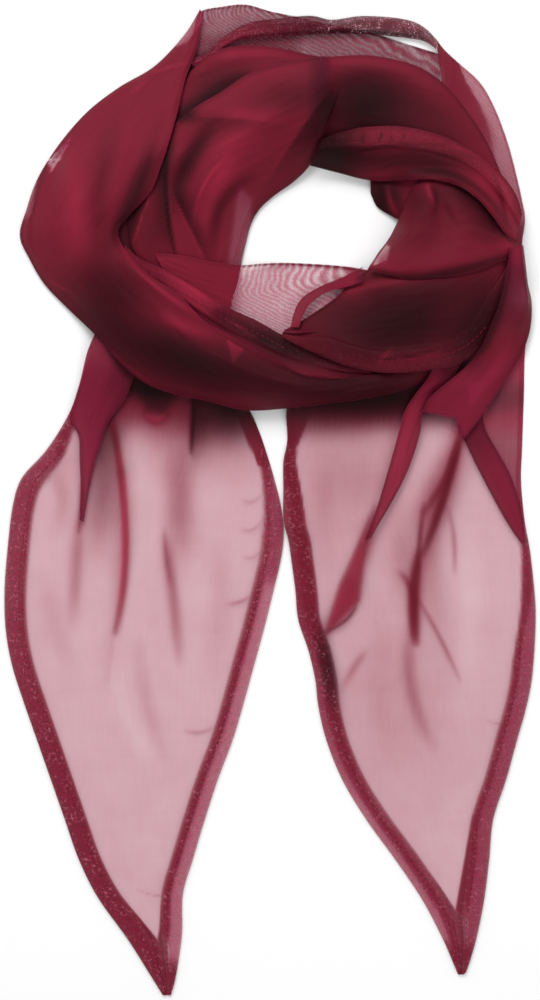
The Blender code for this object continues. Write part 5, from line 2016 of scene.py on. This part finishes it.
class ScarfSizes(bpy.types.PropertyGroup):
    """Sizes of the scarf's cloth and sewing."""

    hem_width: FloatProperty(
        name="Hem width", description="Width of the hem, turned twice", default=0.010, unit="LENGTH"
    )
    thread_pitch: FloatProperty(
        name="Thread pitch", description="Distance between the chiffon's threads", default=0.00045,
        unit="LENGTH"
    )
    layer_opacity: FloatProperty(
        name="Opacity of a layer", description="How much one layer of cloth hides", default=0.40,
        min=0.05, max=0.98, subtype="FACTOR"
    )
    ripple_height: FloatProperty(
        name="Ripple height", description="Height of the small ripples in the cloth", default=0.00016,
        unit="LENGTH"
    )
    stitch_length: FloatProperty(
        name="Stitch length", description="Length of one stitch", default=0.0021, unit="LENGTH"
    )
    stitch_gap: FloatProperty(
        name="Stitch gap", description="Gap between two stitches", default=0.0008, unit="LENGTH"
    )
    thread_thickness: FloatProperty(
        name="Thread thickness", description="Thickness of the sewing thread", default=0.00045, unit="LENGTH"
    )
    lens: FloatProperty(name="Lens", description="The camera's focal length in mm", default=100.0, min=1.0)
    view_height: FloatProperty(
        name="View height", description="How much of the table the camera sees along Y", default=0.5,
        unit="LENGTH"
    )


class ScarfColours(bpy.types.PropertyGroup):
    """Colours of the scarf, its thread and the floor."""

    one_layer: FloatVectorProperty(
        name="One layer", description="Colour of a single sheer layer", subtype="COLOR",
        default=(0.46, 0.022, 0.095), min=0.0, max=1.0
    )
    many_layers: FloatVectorProperty(
        name="Many layers", description="Colour of many layers on each other", subtype="COLOR",
        default=(0.152, 0.0076, 0.0200), min=0.0, max=1.0
    )
    speck: FloatVectorProperty(
        name="Specks", description="Colour of the bright specks in crinkled hems", subtype="COLOR",
        default=(0.62, 0.30, 0.36), min=0.0, max=1.0
    )
    thread: FloatVectorProperty(
        name="Thread", description="Colour of the sewing thread", subtype="COLOR",
        default=(0.24, 0.010, 0.035), min=0.0, max=1.0
    )
    floor: FloatVectorProperty(
        name="Floor", description="Colour of the floor", subtype="COLOR", default=(0.93, 0.93, 0.93),
        min=0.0, max=1.0
    )


class SCARF_OT_stage(bpy.types.Operator):
    """Set up the pale floor, the soft lights and the camera straight above"""

    bl_idname = "scarf.stage"
    bl_label = "Stage"

    def execute(self, context):
        sizes = context.scene.scarf_sizes
        camera = bpy.data.cameras.new("camera")
        camera.lens = sizes.lens
        camera.sensor_width = SENSOR_WIDTH
        above = bpy.data.objects.new("camera", camera)
        above.location = (0.0, 0.0, sizes.view_height * sizes.lens / SENSOR_WIDTH + MIDDLE_HEIGHT)
        context.scene.collection.objects.link(above)
        context.scene.camera = above
        shape = bmesh.new()
        bmesh.ops.create_grid(shape, x_segments=2, y_segments=2, size=FLOOR_REACH)
        bmesh.ops.translate(shape, verts=shape.verts, vec=(0.0, 0.0, -FLOOR_DROP))
        floor = new_object("floor", shape, floor_material(context.scene))
        for light in LIGHTS:
            add_light(light)
        world = bpy.data.worlds.new("studio")
        world.use_nodes = True
        background = world.node_tree.nodes["Background"].inputs
        background["Color"].default_value = (1.0, 1.0, 1.0, 1.0)
        background["Strength"].default_value = ROUND_LIGHT
        context.scene.world = world
        context.scene.view_settings.view_transform = "Standard"
        return {"FINISHED"}


class SCARF_OT_hidden_layers(bpy.types.Operator):
    """Make the bunched layers inside the ring"""

    bl_idname = "scarf.hidden_layers"
    bl_label = "Hidden layers"

    def execute(self, context):
        inner_layers(context)
        return {"FINISHED"}


class SCARF_OT_back_sheets(bpy.types.Operator):
    """Lay the single sheer layers and the rolled edge at the back of the ring"""

    bl_idname = "scarf.back_sheets"
    bl_label = "Sheer back"

    def execute(self, context):
        return lay_sheets(context, "back_sheet", "right_sheet", "edge_roll")


class SCARF_OT_tails(bpy.types.Operator):
    """Lay the two hemmed tails and the folds on them"""

    bl_idname = "scarf.tails"
    bl_label = "Tails"

    def execute(self, context):
        return lay_sheets(context, "left_tail", "right_tail", "left_tail_flap", "diagonal_fold")


class SCARF_OT_back_bands(bpy.types.Operator):
    """Lay the bands at the back and at the left of the neck opening"""

    bl_idname = "scarf.back_bands"
    bl_label = "Back and inner bands"

    def execute(self, context):
        return lay_sheets(context, "back_loop", "back_band", "inner_band")


class SCARF_OT_opening_sheet(bpy.types.Operator):
    """Lay the sheer layer across the neck opening and its rolled edge"""

    bl_idname = "scarf.opening_sheet"
    bl_label = "Opening sheet"

    def execute(self, context):
        return lay_sheets(context, "hole_sheet", "rolled_edge")


class SCARF_OT_front_bands(bpy.types.Operator):
    """Lay the broad front band and the hemmed layer under it"""

    bl_idname = "scarf.front_bands"
    bl_label = "Front bands"

    def execute(self, context):
        return lay_sheets(context, "front_under", "front_band")


class SCARF_OT_right_side(bpy.types.Operator):
    """Lay the knot, cowl, twist, collar and the folds that lead into the right tail"""

    bl_idname = "scarf.right_side"
    bl_label = "Twist and cowl"

    def execute(self, context):
        return lay_sheets(context, "knot", "lower_fold", "cowl", "twist", "collar", "shoulder")


STEPS = (
    SCARF_OT_stage,
    SCARF_OT_hidden_layers,
    SCARF_OT_back_sheets,
    SCARF_OT_tails,
    SCARF_OT_back_bands,
    SCARF_OT_opening_sheet,
    SCARF_OT_front_bands,
    SCARF_OT_right_side,
)


class SCARF_PT_panel(bpy.types.Panel):
    """The scarf's sizes, colours and steps"""

    bl_label = "Chiffon scarf"
    bl_idname = "SCARF_PT_panel"
    bl_space_type = "VIEW_3D"
    bl_region_type = "UI"
    bl_category = "Scarf"

    def draw(self, context):
        for group in (context.scene.scarf_sizes, context.scene.scarf_colours):
            box = self.layout.box()
            for label in group.bl_rna.properties.keys():
                if label not in ("rna_type", "name"):
                    box.prop(group, label)
        for step in STEPS:
            self.layout.operator(step.bl_idname)


CLASSES = (ScarfSizes, ScarfColours, *STEPS, SCARF_PT_panel)


def register():
    """Makes the scarf's classes and values known."""
    for one in CLASSES:
        bpy.utils.register_class(one)
    bpy.types.Scene.scarf_sizes = PointerProperty(type=ScarfSizes)
    bpy.types.Scene.scarf_colours = PointerProperty(type=ScarfColours)


def unregister():
    """Takes the scarf's classes and values away again."""
    del bpy.types.Scene.scarf_colours
    del bpy.types.Scene.scarf_sizes
    for one in reversed(CLASSES):
        bpy.utils.unregister_class(one)


def main():
    """Builds the stage and the scarf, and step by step."""
    register()
    for step in STEPS:
        area, name = step.bl_idname.split(".")
        getattr(getattr(bpy.ops, area), name)()


if __name__ == "__main__":
    main()
